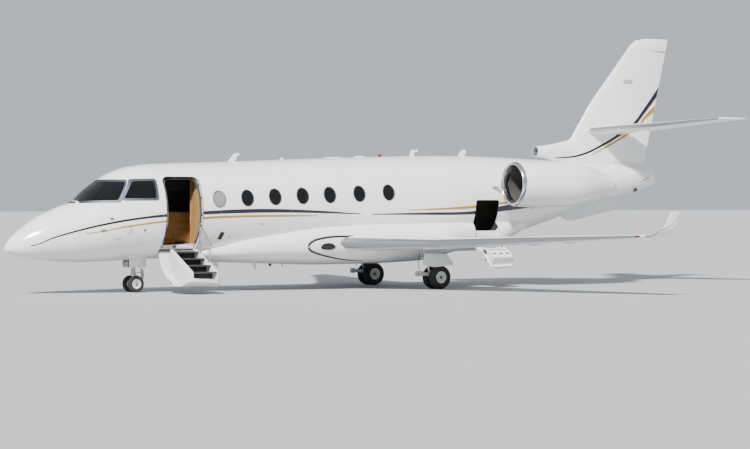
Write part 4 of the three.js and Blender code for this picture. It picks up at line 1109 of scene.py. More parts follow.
skinPaint = paint("door_paint", [stripes], [], "shut")
stair = {
    "front": 3.74, "rear": 4.41, "plate": 0.036,
    "side": [(-1.01, 1.035), (-1.1, 1.035), (-2.215, 0.532), (-2.235, 0.416), (-2.235, 0.06), (-1.01, 0.06)],
    "treads": [(-1.12, 0.985), (-1.445, 0.832), (-1.77, 0.68), (-2.095, 0.527)],
    "depth": 0.28, "step": 0.034, "riser": 0.13,
    "rail": 0.013, "railPath": [(-1.31, 0.9), (-1.22, 1.7), (-1.86, 1.165), (-1.76, 0.62)],
    "grooves": 9,
    "nosing": [(0, 0.001), (0.016, 0.001), (0.016, -0.004), (0.01, -0.004), (0.01, -0.034), (0, -0.034)],
}


# Each door turns on a barrel between two lugs at the ends of its sill, and is notched for the lugs.
hingeParts = {"lug": 0.034, "play": 0.0004, "barrel": 0.018, "notch": 0.028, "spare": 0.006, "beyond": 0.05}


def hingeTube(door, low, high, radius, count):
    return tube([(low, *door["hinge"]), (high, *door["hinge"])], radius, count)


def hingeNotches(door):
    h = hingeParts
    near = h["lug"] + h["spare"]
    spans = ((door["front"] - h["beyond"], door["front"] + near),
             (door["rear"] - near, door["rear"] + h["beyond"]))
    return together(*(hingeTube(door, *span, h["notch"], 24) for span in spans))


def makeHinge(name, door, body):
    h = hingeParts
    near = h["lug"] + h["play"]
    barrel = hingeTube(door, door["front"] + near, door["rear"] - near, h["barrel"], 20)
    piece(name + "_hinge_barrel", barrel, steel, body, sharp=40)
    lugs = together(*(sleeve(0, h["lug"], 0.008, 0.022, (x, *door["hinge"]), "x", 28)
                      for x in (door["front"], door["rear"] - h["lug"])))
    piece(name + "_hinge_lugs", lugs, steel)


# A polyline's corners rounded by quadratics, its ends kept.
def filleted(path, radius, steps=7):
    p = np.asarray(path, float)
    out = [p[:1]]
    u = np.linspace(0, 1, steps)[:, None]
    for a, b, c in zip(p[:-2], p[1:-1], p[2:]):
        first, last = (b + (q - b) / np.linalg.norm(q - b) * min(radius, 0.45 * np.linalg.norm(q - b))
                       for q in (a, c))
        out.append((1 - u) ** 2 * first + 2 * u * (1 - u) * b + u * u * last)
    return np.vstack([*out, p[-1:]])


def turnedShape(shape, hinge, degrees):
    return turnedAbout(shape[0], hinge, degrees), shape[1], shape[2]


def boltHeads(places, axis, radius=0.006, height=0.004):
    return together(*(turned([(0, radius), (height, radius * 0.8)], place, axis, 6, True)
                      for place in places))


def treadMaterial():
    s = Shader("tread_grip")
    grit = s.noise(420.0, 2.0)
    s.set(Base_Color=s.mix(grit, (0.012, 0.012, 0.013), (0.045, 0.045, 0.047)), Roughness=grit * 0.2 + 0.65)
    return s.bump(grit, 0.0012)


grip = treadMaterial()
chrome = metalMaterial("chrome", (0.8, 0.81, 0.82), 0.08, scale=30.0, spread=0.06)


def makeEntryDoor():
    d = entry
    swing = (d["hinge"], d["open"])
    low, high = 3.5, 4.65
    notches = hingeNotches(d)
    piece("entry_door_skin", layer(low, high, 0.0, -0.028), skinPaint, "airstair", ["entry_door"],
          cuts=[notches], keeps=[doorway(d, -doorGap)], swing=swing)
    piece("entry_door_pan", layer(low, high, -0.0285, -0.062), doorWhite, "airstair", ["entry_door"],
          cuts=[notches], keeps=[doorway(d, -doorGap - 0.01)], bevel=0.004, swing=swing)
    piece("entry_door_seal", layer(low, high, -0.012, -0.026), rubber, "airstair",
          cuts=[doorway(d, -0.011), notches], keeps=[doorway(d, -doorGap - 0.0002)], swing=swing)
    makeHinge("entry", d, "airstair")
    pins = []
    for z in d["latches"]:
        for x in (d["front"] + 0.017, d["rear"] - 0.047):
            y = -skinAt(x, z, 0.045)
            pins.append(tube([(x, y, z), (x + 0.03, y, z)], 0.01, 14))
    piece("entry_door_latches", together(*pins), chrome, "airstair", swing=swing)


def makeStair():
    t = stair
    lining = turnedShape(bodyCore(3.42, 4.73, -0.0625), entry["hinge"], entry["open"])
    for name, x in (("front", t["front"]), ("rear", t["rear"] - t["plate"])):
        side = prism(rounded(t["side"], 0.06), x, x + t["plate"], "x")
        piece("stair_side_" + name, side, doorWhite, "airstair", ["entry_stair"], keeps=[lining], bevel=0.004)
        inset = prism([(-1.16, 0.92), (-2.16, 0.47), (-2.16, 0.37), (-1.16, 0.8)], x - 0.003, x + 0.003, "x")
        piece("stair_side_rib_" + name, inset, doorWhite, "airstair", bevel=0.002)
    path = [(t["rear"] - t["plate"] / 2, y, z) for y, z in t["railPath"]]
    piece("handrail", tube(filleted(path, 0.1), t["rail"], 16), chrome, "airstair", ["entry_stair"])
    p = np.array(path)
    collars = [tube([p[k] + [0, 0, dz], p[k] + [0, 0, dz + 0.05]], 0.021, 18) for k,
               dz in ((0, 0.05), (-1, 0.115))]
    knuckle = tube([p[2] - [0.024, 0.01, 0.01], p[2] + [0.024, -0.01, -0.01]], 0.022, 16)
    piece("handrail_fittings", together(*collars, knuckle), steel, "airstair")
    boards, noses, risers = [], [], []
    for y, z in t["treads"]:
        low, high = y - t["depth"] / 2, y + t["depth"] / 2
        groove = np.linspace(low + 0.03, high - 0.008, t["grooves"] * 4 + 1)
        wave = np.where(np.arange(len(groove)) % 4 < 2, 0.0, -0.003)
        top = np.stack([groove, z + wave], -1)
        back, under = low + 0.012, z - t["step"]
        outline = np.vstack([[(back, z)], top, [(high, z - 0.001), (high, under), (back, under)]])
        boards.append(prism(outline, t["front"] + 0.0365, t["rear"] - 0.0365, "x"))
        nose = rounded(t["nosing"] + np.array([low, z]), 0.003, 3)
        noses.append(prism(nose, t["front"] + 0.037, t["rear"] - 0.037, "x"))
        risers.append(block((t["front"] + 0.037, high - 0.04, z - t["step"] - t["riser"]),
                            (t["rear"] - 0.037, high - 0.01, z - t["step"] - 0.001)))
    piece("stair_treads", together(*boards), grip, "airstair", ["entry_stair"])
    piece("stair_nosings", together(*noses), darkMetal, "airstair")
    piece("stair_risers", together(*risers), grip, "airstair", ["entry_stair"], keeps=[lining], bevel=0.003)
    bolts = [(x, y, z - 0.017) for x in (t["front"] - 0.001, t["rear"] + 0.001) for y, z in t["treads"]
             for y in (y - 0.08, y + 0.08)]
    heads = together(*(boltHeads([b], "x", 0.009, 0.004 if b[0] > 4 else -0.004) for b in bolts))
    piece("stair_bolts", heads, steel, "airstair")


# The doorway's frame in the fuselage: a dark seal round its edge with a bright strip inside it. It
# makes room for the shut stair's side plates.
def makeDoorFrames():
    d = entry
    low = block((3.735, -1.4, 0.8), (4.7, -0.3, 1.16))
    plates = together(*(block((x - 0.006, -1.4, 2.6), (x + stair["plate"] + 0.006, -0.3, 2.78))
                        for x in (stair["front"], stair["rear"] - stair["plate"])))
    for name, outer, inner, material, hole, edge, more in (
            ("entry_flange", -0.069, -0.0835, rubber, -0.042, 0.001, [low, plates]),
            ("entry_flange_edge", -0.068, -0.086, polished, -0.052, -0.042, [low, plates]),
            ("entry_edge_seal", 0.0015, -0.01, rubber, 0.0005, 0.014, [])):
        piece(name, layer(3.4, 4.75, outer, inner), material, cuts=[doorway(d, hole), *more],
              keeps=[doorway(d, edge)])
    beam = prism([(-0.628, 1.132), (-0.628, 1.06), (-0.585, 1.032), (-0.54, 0.985), (-0.5, 0.985),
                  (-0.5, 1.132)], d["front"] + 0.004, d["rear"] - 0.004, "x")
    piece("entry_sill_beam", beam, doorWhite, bevel=0.005)
    piece("entry_sill_catch", block((3.99, -0.632, 1.066), (4.07, -0.6275, 1.11)), rubber, bevel=0.002)
    catches = together(*(block((d["rear"] - 0.0008, -skinAt(4.5, z, 0.07), z - 0.032),
                               (d["rear"] + 0.004, -skinAt(4.5, z, 0.028), z + 0.032)) for z in d["latches"]))
    piece("entry_latch_plates", catches, darkMetal, bevel=0.003)


makeEntryDoor()
makeStair()
makeDoorFrames()
print("entry made")


# Baggage door: the skin of the fuselage and the fairing there, with a step box on its inner face

stepBox = {"inset": 0.055, "low": 1.44, "high": 2.11, "face": -0.87, "skin": 0.055, "hole": 0.034,
           "columns": (-0.19, 0.0, 0.19), "rows": (-0.16, 0.16), "lips": [(1.756, 1.776), (1.452, 1.47)]}


def shiftedIn(shape, by):
    return shape[0] + [0, by, 0], shape[1], shape[2]


def makeBaggageDoor():
    d, b = baggage, stepBox
    swing = (d["hinge"], d["open"])
    body = bodyCore(11.9, 13.1, 0.0)
    inner = rawObject("hull_inner", shiftedIn(body, b["skin"]))
    combined(inner, shiftedIn(fairingShape(), b["skin"]), "UNION")
    points = np.array([v.co for v in inner.data.vertices]) - [noseX, 0, 0]
    solid = (points, [list(f.vertices) for f in inner.data.polygons], np.zeros((len(points), 2)))
    bpy.data.objects.remove(inner)
    outer = shiftedIn(solid, -b["skin"])
    piece("baggage_door_skin", outer, skinPaint, "baggage_hatch", ["baggage_door"],
          cuts=[(solid, "DIFFERENCE", doorWhite), hingeNotches(d)], keeps=[doorway(d, -doorGap)], swing=swing)
    middle = ((d["front"] + d["rear"]) / 2, (b["low"] + b["high"]) / 2)
    places = [(middle[0] + x, middle[1] + z) for x in b["columns"] for z in b["rows"]]
    face, hole = b["face"], b["hole"]
    holes = together(*(tube([(x, face - 0.06, z), (x, -0.7, z)], hole, 28) for x, z in places))
    front, rear = d["front"] + b["inset"], d["rear"] - b["inset"]
    box = block((front, -1.4, b["low"]), (rear, face, b["high"]))
    piece("baggage_step_box", box, doorWhite, "baggage_hatch", ["baggage_door"],
          cuts=[(holes, "DIFFERENCE", bayLining)], keeps=[shiftedIn(solid, -0.005)], bevel=0.006, swing=swing)
    profile = [(face - 0.001, hole + 0.0005), (face + 0.003, hole + 0.001), (face + 0.003, hole + 0.008),
               (face - 0.001, hole + 0.009)]
    rims = together(*(turned(profile, (x, 0, z), "y", 28) for x, z in places))
    piece("step_hole_rims", rims, polished, "baggage_hatch", swing=swing)
    lips = together(*(block((12.23, face - 0.001, low), (12.77, face + 0.006, high))
                      for low, high in b["lips"]))
    piece("step_lips", lips, grip, "baggage_hatch", bevel=0.002, swing=swing)
    oval = ovalOutline((-0.98, 1.7), (0.045, 0.075), 24)
    vents = together(prism(oval, front - 0.004, front, "x"), prism(oval, rear, rear + 0.004, "x"))
    piece("step_side_vents", vents, bayLining, "baggage_hatch", swing=swing)
    makeHinge("baggage", d, "baggage_hatch")


makeBaggageDoor()
print("baggage door made")


# Inside the cabin

cabin = {
    "lift": 0.0375,
    "lowCabinet": {"front": 3.66, "joint": 4.5, "rear": 5.14, "face": 0.335, "top": 1.9},
    "highCabinet": {"low": 2.42, "top": 2.76, "back": 0.9},
    "partition": {"x": 4.575, "thickness": 0.03, "reach": 0.36},
    "clear": 0.004,
}


def trimmed():
    return bodyCore(1.75, 5.4, -0.083)


def cabinFloorAt(x):
    return 1.045 + cabin["lift"] * (x - 1.76)


# Doors and drawers on a cabinet's face: thin rounded fronts with a knob each.
def cabinetFronts(cells, face, proud=0.012):
    fronts = [prism(rounded(rectangle(a, b, c, d), 0.012, 4), face - proud, face + 0.004)
              for a, b, c, d in cells]
    knobs = [turned([(0, 0.006), (-0.01, 0.006), (-0.014, 0.013), (-0.022, 0.012), (-0.024, 0.004)],
                    ((a + b) / 2, face - proud, d - 0.06), "y", 20, True) for a, b, c, d in cells]
    return together(*fronts), together(*knobs)


def makeGalley():
    c, h = cabin["lowCabinet"], cabin["highCabinet"]
    inside = trimmed()
    for name, low, high, stands in (("galley_cabinet_low", c["front"], c["joint"] - 0.001, ["galley_cabinet"]),
                                    ("galley_cabinet_aft", c["joint"] + 0.001, c["rear"], [])):
        base = cabinFloorAt(high) + cabin["clear"]
        piece(name, block((low, c["face"], base), (high, 1.2, c["top"])), maple, replaces=stands,
              keeps=[inside], bevel=0.004)
        middle = (low + high) / 2
        cells = [(a, b, z0, z1) for a, b in ((low + 0.02, middle - 0.006), (middle + 0.006, high - 0.02))
                 for z0, z1 in ((base + 0.09, 1.52), (1.535, 1.7), (1.715, 1.88))]
        fronts, knobs = cabinetFronts(cells, c["face"])
        piece(name + "_fronts", fronts, maple, bevel=0.002)
        piece(name + "_knobs", knobs, darkMetal)
    front, rear, face, top = c["front"], c["rear"], c["face"], c["top"]
    for name, low, high, material, slot, stands, bevel in (
            ("galley_counter", (front, face - 0.02, top + 0.001), (rear, 1.2, top + 0.026), darkMetal,
             "panel_plastic", [], 0.006),
            ("galley_upper", (front, face + 0.06, h["low"]), (rear, 1.2, h["top"]), bayLining, "veneer",
             ["galley_cabinet"], 0.006),
            ("galley_back", (front, h["back"], top + 0.028), (rear, h["back"] + 0.02, h["low"] - 0.002),
             bayLining, "panel_plastic", [], 0),
            ("galley_end", (rear - 0.02, face + 0.06, top + 0.028), (rear, h["back"] - 0.002, h["low"] - 0.002),
             bayLining, "veneer", [], 0)):
        piece(name, block(low, high), material, replaces=stands, keeps=[inside], bevel=bevel)
    p = cabin["partition"]
    for name, side in bothSides:
        x = p["x"] if side < 0 else c["rear"] + 0.012
        z = cabinFloorAt(x) + cabin["clear"]
        edge = rounded(rectangle(p["reach"], widest, z, 3.1, side), 0.02)
        piece("cabin_partition_" + name, prism(edge, x, x + p["thickness"], "x"), paleWood, keeps=[inside],
              bevel=0.004)
        strip = prism(rectangle(p["reach"] - 0.012, p["reach"] + 0.01, z, 2.95, side),
                      x - 0.006, x + 0.036, "x")
        piece("partition_edge_" + name, strip, maple, keeps=[inside], bevel=0.006)
    z = cabinFloorAt(3.5) + cabin["clear"]
    for name, side in bothSides:
        wall = prism(rectangle(0.34, widest, z, 3.1, side), 3.545, 3.575, "x")
        piece("cockpit_partition_" + name, wall, bayLining, keeps=[inside], bevel=0.004)


# The port window next to the door has its blind down; the others show a dark edge at the top, their raised
# blinds drawn near black as painted shade.
def makeBlinds():
    half, raised = (0.19, 0.21), 0.12
    for k, (x, z) in enumerate(windows["centres"]):
        for name, side in bothSides:
            down = (k, side) == (0, -1)
            slat = rectangle(x - half[0], x + half[0], z - half[1] if down else z + raised, z + half[1])
            piece("blind_%s_%d" % (name, k + 1), layer(x - 0.2, x + 0.2, -0.0165, -0.02, 0.05),
                  blindGrey if down else bayLining, keeps=[sided(slat, side, 0.7, widest)])


def blindMaterial():
    s = Shader("window_blind", Roughness=0.7)
    # The pleats are a sine of the height. It raises them as a bump and also paints them lighter and darker, as
    # painted shade on the folds.
    pleatReliefAndShade = s.maths("SINE", s.z * 520.0)
    s.set(Base_Color=s.mix(pleatReliefAndShade * 0.3 + 0.35, (0.85, 0.83, 0.78), (0.55, 0.54, 0.5)))
    return s.bump(pleatReliefAndShade, 0.0015)


blindGrey = blindMaterial()


def leatherMaterial():
    s = Shader("seat_leather", Coat_Weight=0.1)
    grain = s.node("ShaderNodeTexVoronoi", {}, {"Vector": s.place, "Scale": 260.0})
    wear = s.noise(6.0, 4.0)
    s.set(Base_Color=s.mix(wear, (0.3, 0.26, 0.21), (0.4, 0.35, 0.28)), Roughness=wear * 0.15 + 0.42)
    return s.bump(grain, 0.0008)


def bow(v, power):
    return np.sign(v) * np.abs(v) ** power


# A stuffed cushion: a superellipsoid block. Sines and cosines of its two angles are raised to powers,
# each with its own sign, times the half sizes; then it tilts.
def cushion(centre, half, tilt=0.0, power=0.32):
    a = np.linspace(-np.pi / 2, np.pi / 2, 25)[:, None]
    b = circle(48)
    x = bow(np.cos(a), power * 1.6) * bow(np.cos(b), power)
    y = bow(np.cos(a), power * 1.6) * bow(np.sin(b), power)
    z = np.broadcast_to(bow(np.sin(a), 0.75), x.shape)
    u, v, w = x * half[0], y * half[1], z * half[2]
    c, s = math.cos(math.radians(tilt)), math.sin(math.radians(tilt))
    return grid(np.stack([u * c + w * s, v, w * c - u * s], -1) + centre)


leather = leatherMaterial()


def makeCockpit():
    for name, side in bothSides:
        y = 0.43 * side
        parts = {"seat_cushion": ((3.03, y, 1.575), (0.235, 0.225, 0.065), -4, 0.3),
                 "seat_back": ((3.37, y, 1.93), (0.3, 0.215, 0.06), 81, 0.3),
                 "headrest": ((3.445, y, 2.335), (0.105, 0.135, 0.05), 84, 0.4)}
        for key, (centre, half, tilt, power) in parts.items():
            pad = piece("crew_%s_%s" % (key, name), cushion(centre, half, tilt, power), leather,
                        replaces=["crew_seat_" + name])
        base = [block((x0, y - half, z0), (x1, y + half, z1))
                for x0, x1, half, z0, z1 in ((2.99, 3.21, 0.2, 1.06, 1.085), (3.02, 3.18, 0.15, 1.09, 1.45),
                                             (2.86, 3.26, 0.22, 1.46, 1.5))]
        posts = [tube([(3.43, y + out, 2.16), (3.45, y + out, 2.3)], 0.008) for out in (-0.07, 0.07)]
        piece("crew_seat_frame_" + name, together(*base, *posts), darkMetal, bevel=0.004)
        rests = together(*(tube(filleted([(3.33, y + out, 1.84), (3.02, y + out, 1.84),
                                          (2.98, y + out, 1.8)], 0.02), 0.026, 14)
                           for out in (-0.255, 0.255)))
        piece("crew_armrests_" + name, rests, rubber)
        grips = [(2.7, 0.17, 1.98), (2.72, 0.17, 1.86), (2.7, 0.06, 1.82)]
        horns = [(x, y - out, z) for x, out, z in grips] + [(x, y + out, z) for x, out, z in grips[::-1]]
        wheel = tube(filleted(horns, 0.06), 0.014)
        column = tube([(2.56, y, 1.8), (2.7, y, 1.825)], 0.018, 14)
        piece("control_wheel_" + name, together(wheel, column), rubber)
    inside = trimmed()
    outline = [(2.42, 1.2), (2.56, 1.2), (2.6, 2.02), (2.56, 2.06), (2.4, 1.95)]
    piece("instrument_board", prism(outline, -0.85, 0.85), bayLining,
          replaces=["instrument_panel"], keeps=[inside], bevel=0.006)
    hood = [(2.18, 2.075), (2.63, 2.065), (2.635, 2.085), (2.49, 2.128), (2.18, 2.098)]
    piece("glareshield", prism(hood, -0.84, 0.84), rubber, replaces=["instrument_panel"],
          keeps=[inside], bevel=0.004)
    pedestal = rounded([(2.58, 1.1), (3.05, 1.1), (3.02, 1.52), (2.9, 1.6), (2.6, 1.7)], 0.03)
    piece("centre_pedestal", prism(pedestal, -0.14, 0.14), bayLining, bevel=0.006)
    screens = together(*(prism(rounded(rectangle(y - 0.1, y + 0.1, 1.72, 1.95), 0.01, 3), 2.585, 2.604, "x")
                         for y in (-0.62, -0.38, -0.12, 0.12, 0.38, 0.62)))
    piece("display_screens", screens, cockpitGlass, bevel=0.002)


def carpetMaterial():
    s = Shader("carpet")
    pile = s.noise(300.0, 3.0)
    s.set(Base_Color=s.mix(pile, (0.3, 0.25, 0.18), (0.42, 0.36, 0.27)), Roughness=pile * 0.1 + 0.88)
    return s.bump(pile, 0.002)


carpet = carpetMaterial()


# The cabin floor stays as the CAD has it, with a carpet.
def makeCarpet():
    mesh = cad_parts["cabin_floor"].data
    mesh.materials.clear()
    mesh.materials.append(carpet)


makeGalley()
makeBlinds()
makeCockpit()
makeCarpet()
print("cabin made")


# Landing gear

gear = {
    "nose": {"x": 3.24, "y": 0.0, "radius": 0.203, "rim": 0.104, "width": 0.11, "spacing": 0.16, "axle": 0.024,
             "grooves": (-0.42, 0.0, 0.42), "holes": 8},
    "main": {"x": 10.68, "y": 1.65, "radius": 0.292, "rim": 0.138, "width": 0.178, "spacing": 0.15,
             "axle": 0.032, "grooves": (-0.55, -0.18, 0.18, 0.55), "holes": 10},
}


# A tyre's section, from bead to bead over the crown: across by the sine of an angle to the power 0.77,
# outward by its cosine to the power 0.55, less the tread's grooves.
def tyreShape(w, y):
    t = np.linspace(-0.94, 0.94, 61) * np.pi / 2
    v = np.sign(np.sin(t)) * np.abs(np.sin(t)) ** 0.77 * w["width"] / 2
    tall = (w["radius"] - w["rim"]) * 0.62
    r = w["radius"] - tall + tall * np.abs(np.cos(t)) ** 0.55
    at = v / (w["width"] / 2)
    for g in w["grooves"]:
        r = r - 0.006 * np.clip(1 - (np.abs(at - g) / 0.055) ** 4, 0, 1)
    wall = [(w["width"] * 0.47, w["rim"] + 0.01), (w["width"] * 0.41, w["rim"] - 0.004)]
    inner = [(w["width"] * 0.36, w["rim"] + 0.012)]
    profile = np.vstack([[(-a, b) for a, b in wall[::-1]], np.column_stack([v, r]), wall, inner,
                         [(-a, b) for a, b in inner]])
    return turned(profile, (w["x"], y, w["radius"]), "y", 80)


# Twin rims on their axle: a flanged barrel with a dished disc, both sides alike.
def rimShape(w, y, side):
    s, h, r, bore = w["spacing"], w["width"] / 2, w["rim"], w["axle"] * 0.9
    # half widths from the tyre's middle, rim radii, and what is added to them
    rows = [(-0.92, 1, -0.018), (-0.92, 1, 0.012), (-0.8, 1, 0.012), (-0.74, 1, -0.006), (0.74, 1, -0.006),
            (0.8, 1, 0.012), (0.92, 1, 0.012), (0.92, 1, -0.01), (0.62, 1, -0.02), (0.34, 0.62, 0),
            (0.38, 0.48, 0), (0.62, 0.36, 0), (0.7, 0.3, 0), (0.7, 0, bore), (-0.3, 0, bore), (-0.3, 0.46, 0),
            (0.22, 0.62, 0), (0.42, 1, -0.03), (-0.8, 1, -0.024)]
    half = [(s + h * a, r * b + c) for a, b, c in rows]
    return turned(np.array(half) * [side, 1], (w["x"], y, w["radius"]), "y", 64)


# A shape repeated round a wheel.
def ring(w, y, radius, out, count, shape):
    angles = 2 * np.pi * np.arange(count) / count
    return together(*(shape((w["x"] + radius * math.cos(a), y + out, w["radius"] + radius * math.sin(a)))
                      for a in angles))


def makeWheels(kind, label, y, body, tyres, rimsNode):
    w = gear[kind]
    for k, (side, tyre) in enumerate(zip((-1, 1), tyres)):
        piece(tyre + "_rubber", tyreShape(w, y + side * w["spacing"]), tyreRubber, body, [tyre], sharp=40)
        out = [side * (w["spacing"] + w["width"] * share) for share in (0.17, 0.23, 0.34)]
        holes = ring(w, y, w["rim"] * 0.76, out[0], w["holes"],
                     lambda c: tube([(c[0], c[1] - 0.06, c[2]), (c[0], c[1] + 0.06, c[2])],
                                    w["rim"] * 0.085, 16))
        piece("%s_rim_%d" % (label, k + 1), rimShape(w, y, side), alloy, body, [rimsNode], cuts=[holes],
              sharp=36)
        bolt = [(0, 0.007), (side * 0.014, 0.007), (side * 0.018, 0.004)]
        bolts = ring(w, y, w["rim"] * 0.42, out[1], 8, lambda c: turned(bolt, c, "y", 6, True))
        cap = turned([(0, w["axle"] * 1.1), (side * 0.012, w["axle"] * 1.1), (side * 0.02, w["axle"] * 0.7)],
                     (w["x"], y + out[2], w["radius"]), "y", 32, True)
        piece("%s_hub_%d" % (label, k + 1), together(bolts, cap), darkMetal, body)
    axle = tube([(w["x"], y - w["spacing"], w["radius"]), (w["x"], y + w["spacing"], w["radius"])],
                w["axle"], 28)
    piece(label + "_axle", axle, steel, body, [rimsNode])


# Clamps along a hose.
def clamps(path, radius, every):
    return together(*(tube([a, a + (b - a) * 0.35], radius) for a, b in zip(path[1:-1:every], path[2::every])))


def makeNoseGear():
    w = gear["nose"]
    x = w["x"]
    outer = turned([(0.4805, 0.03), (0.4805, 0.056), (0.52, 0.058), (0.524, 0.05), (0.74, 0.05), (0.745, 0.054),
                    (0.95, 0.054), (0.95, 0.03)], (x, 0, 0), "z", 40)
    brace = tube([(x, 0, 0.6), (2.87, 0, 0.9)], 0.024, 20)
    joints = together(tube([(x, -0.065, 0.6), (x, 0.065, 0.6)], 0.022, 20),
                      tube([(3.055, 0, 0.75), (3.03, 0, 0.77)], 0.034, 20))
    piece("nose_leg_cylinder", together(outer, brace), steel, replaces=["nose_gear_leg"], sharp=40)
    piece("nose_leg_fittings", joints, darkMetal)
    hose = filleted([(x + 0.062, 0.03, 0.8), (x + 0.066, 0.03, 0.6), (x + 0.062, 0.03, 0.5)], 0.05)
    line = filleted([(x - 0.03, -0.056, 0.82), (x - 0.03, -0.06, 0.62), (x - 0.02, -0.058, 0.54)], 0.05)
    piece("nose_leg_hoses", together(tube(hose, 0.007), tube(line, 0.005), clamps(hose, 0.01, 4)), rubber)
    lampBody = turned([(0, 0.04), (0.05, 0.046), (0.055, 0.05), (0.065, 0.05), (0.065, 0.045), (0.03, 0.03)],
                      (x - 0.135, 0, 0.7), "x", 36)
    flip = lampBody[0].copy()
    flip[:, 0] = 2 * (x - 0.105) - flip[:, 0]
    piece("taxi_light_housing", (flip, *lampBody[1:]), steel)
    lens = [(-0.15, 0.0005), (-0.147, 0.022), (-0.138, 0.044), (-0.133, 0.044), (-0.133, 0.0005)]
    piece("taxi_light_lens", turned(lens, (x, 0, 0.7), "x", 36, True), lensGlass)
    piece("taxi_light_arm", block((x - 0.1, -0.012, 0.692), (x - 0.045, 0.012, 0.708)), darkMetal)
    piston = tube([(x, 0, 0.23), (x, 0, 0.4795)], 0.038, 36)
    piece("nose_piston", piston, chrome, "nose_steering", ["nose_gear_fork"])
    collar = sleeve(0.42, 0.4795, 0.036, 0.054, (x, 0, 0), "z", 36)
    barrel = sleeve(-0.052, 0.052, 0.025, 0.046, (x, 0, w["radius"]), "y", 36)
    root = turned([(0.215, 0.048), (0.26, 0.044), (0.28, 0.039)], (x, 0, 0), "z", 32, True)
    piece("nose_fork", together(collar, barrel, root), steel, "nose_steering", ["nose_gear_fork"], sharp=40)
    links = []
    for low, high in ((0.315, 0.375), (0.445, 0.385)):
        link = [(x + 0.02, low - 0.014), (x + 0.02, low + 0.014), (x + 0.112, high + 0.01),
                (x + 0.112, high - 0.01)]
        links += [prism(rounded(link, 0.008, 3), side * 0.014, side * 0.02) for side in (-1, 1)]
    pins = together(*(tube([(x + dx, -0.024, z), (x + dx, 0.024, z)], 0.008, 14)
                      for dx, z in ((0.03, 0.315), (0.107, 0.38), (0.03, 0.445))))
    piece("nose_torque_links", together(*links, pins), steel, "nose_steering", ["nose_gear_fork"])
    u = np.linspace(0, 1, 12)
    bow = np.column_stack([x + 0.215 + 0.035 * np.sin(np.pi * u), 0.575 - 0.29 * u])
    guard = prism(np.vstack([bow, (bow + [0.007, 0])[::-1]]), -0.075, 0.075)
    stay = tube([(x + 0.05, 0, 0.46), (x + 0.235, 0, 0.47)], 0.01, 14)
    piece("nose_leg_door", guard, plainPaint, "nose_steering", bevel=0.002)
    piece("nose_leg_door_stay", stay, steel, "nose_steering")
    makeWheels("nose", "nose_wheel", 0.0, "nose_wheels", ("nose_tyre_port", "nose_tyre_starboard"),
               "nose_wheel_rims")
    body = bodyCore(2.6, 4.0, -0.001)
    for name, side in bothSides:
        panel = rounded(rectangle(3.05, 3.48, 0.59, 1.0), 0.05)
        piece("nose_door_" + name, sided(panel, side, 0.205, 0.219), plainPaint,
              replaces=["nose_gear_door_" + name], cuts=[body], bevel=0.004)
        ribs = together(*(sided(rectangle(a, a + 0.014, 0.61, 0.77), side, 0.195, 0.2045)
                          for a in (3.09, 3.2, 3.32, 3.43)))
        piece("nose_door_ribs_" + name, ribs, bayLining)


def makeMainGear():
    w = gear["main"]
    root = fairingShape(0.12, -0.004)
    for name, side in bothSides:
        y = w["y"] * side

        def at(x, out, z):
            return (x, side * out, z)

        foil = mirrored(acrossFoils(wing["rows"], grow=-0.002), side)
        post = tube([at(10.15, 1.65, 0.38), at(10.21, 1.65, 0.7), at(10.3, 1.65, 1.2)],
                    [0.055, 0.062, 0.062], 36)
        arm = tube([at(10.15, 1.65, 0.38), at(10.4, 1.65, 0.37), at(10.68, 1.65, 0.292)],
                   [0.05, 0.044, 0.046], 30)
        knee = sleeve(-0.05, 0.05, 0.03, 0.066, (10.15, y, 0.38), "y", 36)
        hub = sleeve(-0.05, 0.05, 0.034, 0.056, (10.68, y, w["radius"]), "y", 36)
        brace = tube([at(10.29, 1.65, 0.98), at(10.29, 1.25, 1.15)], 0.026, 20)
        piece("main_leg_" + name, together(post, arm, knee, hub, brace), gearPaint,
              replaces=["main_gear_leg_" + name], cuts=[root, foil], sharp=40)
        cylinder = tube([at(10.31, 1.65, 0.98), at(10.385, 1.65, 0.72), at(10.42, 1.65, 0.6)],
                        [0.04, 0.042, 0.042], 30)
        rod = tube([at(10.42, 1.65, 0.6), at(10.5, 1.65, 0.35)], 0.024, 28)
        eye = sleeve(-0.03, 0.03, 0.012, 0.036, (10.5, y, 0.345), "y", 28)
        piece("main_shock_" + name, cylinder, steel, replaces=["main_gear_leg_" + name])
        piece("main_shock_rod_" + name, together(rod, eye), chrome)
        hose = filleted([at(10.235, 1.585, 0.9), at(10.2, 1.58, 0.6), at(10.22, 1.585, 0.44),
                         at(10.45, 1.59, 0.42), at(10.6, 1.6, 0.36)], 0.08)
        piece("brake_hose_" + name, together(tube(hose, 0.008), clamps(hose, 0.012, 6)), rubber)
        stack = turned([(-0.045, 0.058), (-0.045, 0.1), (-0.03, 0.108), (0.03, 0.108), (0.045, 0.1),
                        (0.045, 0.058)], (10.68, y, w["radius"]), "y", 48)
        piece("brake_" + name, stack, darkMetal, sharp=30)
        tyres = ["main_tyre_%s_%s" % (name, place) for place in ("outer", "inner")][::-side]
        makeWheels("main", "main_wheel_" + name, y, "main_wheels_" + name, tyres, "main_wheel_rims_" + name)
        outline = rounded([(10.173, 0.888), (10.811, 0.868), (11.025, 0.6), (10.462, 0.545), (10.115, 0.6)],
                          0.045)
        piece("main_door_" + name, sided(outline, side, 1.925, 1.941), plainPaint,
              replaces=["main_gear_door_" + name], bevel=0.005)
        ribs = together(*(sided([(a, b), (c, d), (c, d - 0.02), (a, b - 0.02)], side, 1.912, 1.9245)
                          for a, b, c, d in ((10.2, 0.86, 10.78, 0.845), (10.17, 0.66, 10.9, 0.66))))
        bracket = tube([at(10.225, 1.7, 0.76), at(10.255, 1.925, 0.76)], 0.022, 20)
        piece("main_door_frame_" + name, together(ribs, bracket), gearPaint)


